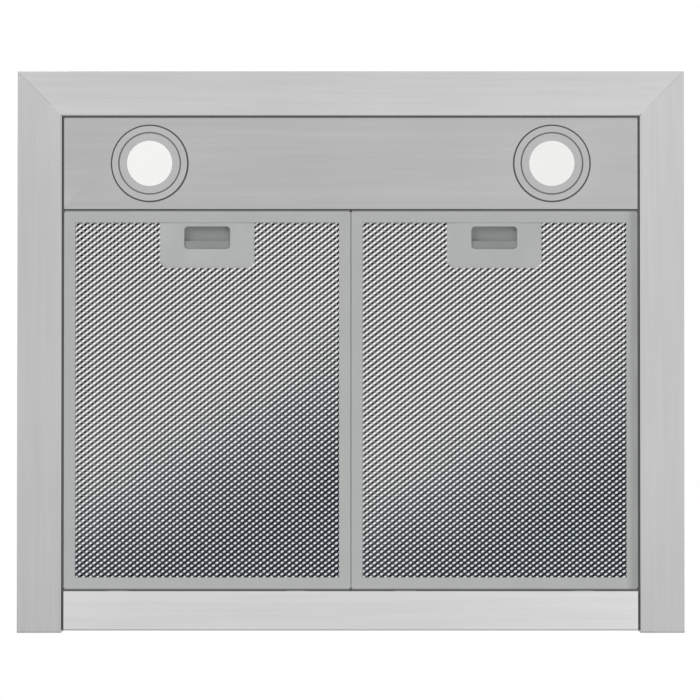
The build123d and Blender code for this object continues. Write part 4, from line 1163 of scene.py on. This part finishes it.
def camera():
    """A long lens that looks straight up at the underside, its top edge towards the front."""
    stage = sizes("stage")
    data = bpy.data.cameras.new("hood_camera")
    data.lens = stage.lens
    distance = stage.width * data.lens / data.sensor_width
    data.clip_end = FAR_CLIP
    view = bpy.data.objects.new("hood_camera", data)
    bpy.context.collection.objects.link(view)
    aim = Vector((stage.aim_x, stage.aim_y, 0))
    tilt = Matrix.Rotation(pi + stage.lean, 4, "X")
    view.matrix_world = Matrix.Translation(aim) @ tilt @ Matrix.Translation((0, 0, distance))
    bpy.context.scene.camera = view


def soft_light(name, spot, power, width, mirrored=True):
    """A square soft light that faces the hood, isn't seen itself, and may show in the metal."""
    data = bpy.data.lights.new(name, "AREA")
    data.energy = power
    data.size = width
    light = bpy.data.objects.new(name, data)
    bpy.context.collection.objects.link(light)
    aim = (Vector(TARGET) - Vector(spot)).to_track_quat("-Z", "Y").to_matrix().to_4x4()
    light.matrix_world = Matrix.Translation(spot) @ aim
    light.visible_camera = False
    light.visible_glossy = mirrored


def seen_as(finish, white, other):
    """One shader where the camera, a reflection or a clear piece looks, and the other elsewhere."""
    camera_ray, glossy_ray, clear_ray = (
        finish.node("ShaderNodeLightPath", output=f"Is {ray} Ray")
        for ray in ("Camera", "Glossy", "Transmission"))
    seen = camera_ray + glossy_ray + clear_ray > 0.5
    return finish.node("ShaderNodeMixShader", {}, {0: seen, 1: other, 2: white})


def world():
    """White all round, and a plain level of light on matt surfaces."""
    sky = bpy.data.worlds.new("studio")
    sky.use_nodes = True
    finish = Finish(sky.node_tree)
    output = next(node for node in sky.node_tree.nodes if node.type == "OUTPUT_WORLD")
    white = finish.node("ShaderNodeBackground", {}, {0: WHITE, 1: 1.0})
    light = finish.node("ShaderNodeBackground", {}, {0: WHITE, 1: sizes("stage").sky})
    finish.feed(output.inputs["Surface"], seen_as(finish, white, light))
    bpy.context.scene.world = sky


def floor():
    """A pale floor well below the hood."""
    stage = sizes("stage")
    settle()
    bpy.ops.mesh.primitive_plane_add(size=2 * stage.floor_half, location=(0, 0, stage.floor_z))
    ground = bpy.context.object
    ground.name = "studio_floor"
    surface = Surface("pale_floor")
    output = next(node for node in surface.tree.nodes if node.type == "OUTPUT_MATERIAL")
    white = surface.node("ShaderNodeEmission", {}, {0: WHITE, 1: 1.0})
    paint_coat = surface.node("ShaderNodeBsdfDiffuse", {}, {0: rgba(stage.floor_paint)})
    surface.feed(output.inputs["Surface"], seen_as(surface, white, paint_coat))
    ground.data.materials.append(surface.material)


def stage_set():
    """Camera, floor, world and soft lights, below for the underside and above for the rest."""
    camera()
    floor()
    world()
    soft_light("key_below", (-1.5, -1.1, -1.15), 16.0, 1.0, mirrored=False)
    soft_light("fill_below", (1.4, 0.6, -1.7), 8.0, 1.6, mirrored=False)
    soft_light("key_above", (-1.6, -1.8, 2.2), 22.0, 1.6)
    soft_light("fill_above", (2.0, 1.2, 1.8), 12.0, 1.8)
    bpy.context.scene.view_settings.view_transform = "Standard"


# ------------------------------------------------------------------ add-on
class HOOD_OT_stage(bpy.types.Operator):
    """Sets the camera, the floor and the light"""

    bl_idname = "hood.stage"
    bl_label = "Stage"
    bl_options = {"REGISTER", "UNDO"}

    def execute(self, context):
        stage_set()
        return {"FINISHED"}


class HOOD_OT_sheets(bpy.types.Operator):
    """Dresses the trims, the lamp panel, the body and the blower box"""

    bl_idname = "hood.sheets"
    bl_label = "Sheets"
    bl_options = {"REGISTER", "UNDO"}

    def execute(self, context):
        sheet_pieces()
        return {"FINISHED"}


class HOOD_OT_lamps(bpy.types.Operator):
    """Makes the bezels, gaskets and lenses"""

    bl_idname = "hood.lamps"
    bl_label = "Lamps"
    bl_options = {"REGISTER", "UNDO"}

    def execute(self, context):
        lamp_pieces()
        return {"FINISHED"}


class HOOD_OT_filters(bpy.types.Operator):
    """Makes the expanded meshes and dresses the filters"""

    bl_idname = "hood.filters"
    bl_label = "Filters"
    bl_options = {"REGISTER", "UNDO"}

    def execute(self, context):
        filter_pieces()
        return {"FINISHED"}


class HOOD_OT_gaps(bpy.types.Operator):
    """Adds the folded edges and the seals in the gaps"""

    bl_idname = "hood.gaps"
    bl_label = "Gaps"
    bl_options = {"REGISTER", "UNDO"}

    def execute(self, context):
        hem_pieces()
        seal_pieces()
        return {"FINISHED"}


class HOOD_OT_mouldings(bpy.types.Operator):
    """Dresses the collar, the control box and the blower"""

    bl_idname = "hood.mouldings"
    bl_label = "Mouldings"
    bl_options = {"REGISTER", "UNDO"}

    def execute(self, context):
        moulded_pieces()
        return {"FINISHED"}


class HOOD_OT_screws(bpy.types.Operator):
    """Adds the screws"""

    bl_idname = "hood.screws"
    bl_label = "Screws"
    bl_options = {"REGISTER", "UNDO"}

    def execute(self, context):
        screw_pieces()
        return {"FINISHED"}


OPERATORS = [HOOD_OT_stage, HOOD_OT_sheets, HOOD_OT_lamps, HOOD_OT_filters, HOOD_OT_gaps,
             HOOD_OT_mouldings, HOOD_OT_screws]
GROUPS = {"sheets": HoodSheets, "lamps": HoodLamps, "filters": HoodFilters,
          "plastics": HoodPlastics, "screws": HoodScrews, "stage": HoodStage}


class HOOD_PT_panel(bpy.types.Panel):
    """Lists the hood's groups of pieces and their sizes."""

    bl_label = "Range Hood Insert"
    bl_idname = "HOOD_PT_panel"
    bl_space_type = "VIEW_3D"
    bl_region_type = "UI"
    bl_category = "Hood"

    def draw(self, context):
        for made in OPERATORS:
            self.layout.operator(made.bl_idname)
        for key, group in GROUPS.items():
            box = self.layout.box()
            box.label(text=key.title())
            for name in group.__annotations__:
                box.prop(sizes(key), name)


CLASSES = [*GROUPS.values(), *OPERATORS, HOOD_PT_panel]


def register():
    for cls in CLASSES:
        bpy.utils.register_class(cls)
    for key, group in GROUPS.items():
        setattr(bpy.types.Scene, f"hood_{key}", bpy.props.PointerProperty(type=group))


def unregister():
    for key in GROUPS:
        delattr(bpy.types.Scene, f"hood_{key}")
    for cls in reversed(CLASSES):
        bpy.utils.unregister_class(cls)


def main():
    """Makes the whole hood."""
    register()
    bpy.ops.hood.stage()
    bpy.ops.hood.sheets()
    bpy.ops.hood.lamps()
    bpy.ops.hood.filters()
    bpy.ops.hood.gaps()
    bpy.ops.hood.mouldings()
    bpy.ops.hood.screws()


if __name__ == "__main__":
    main()
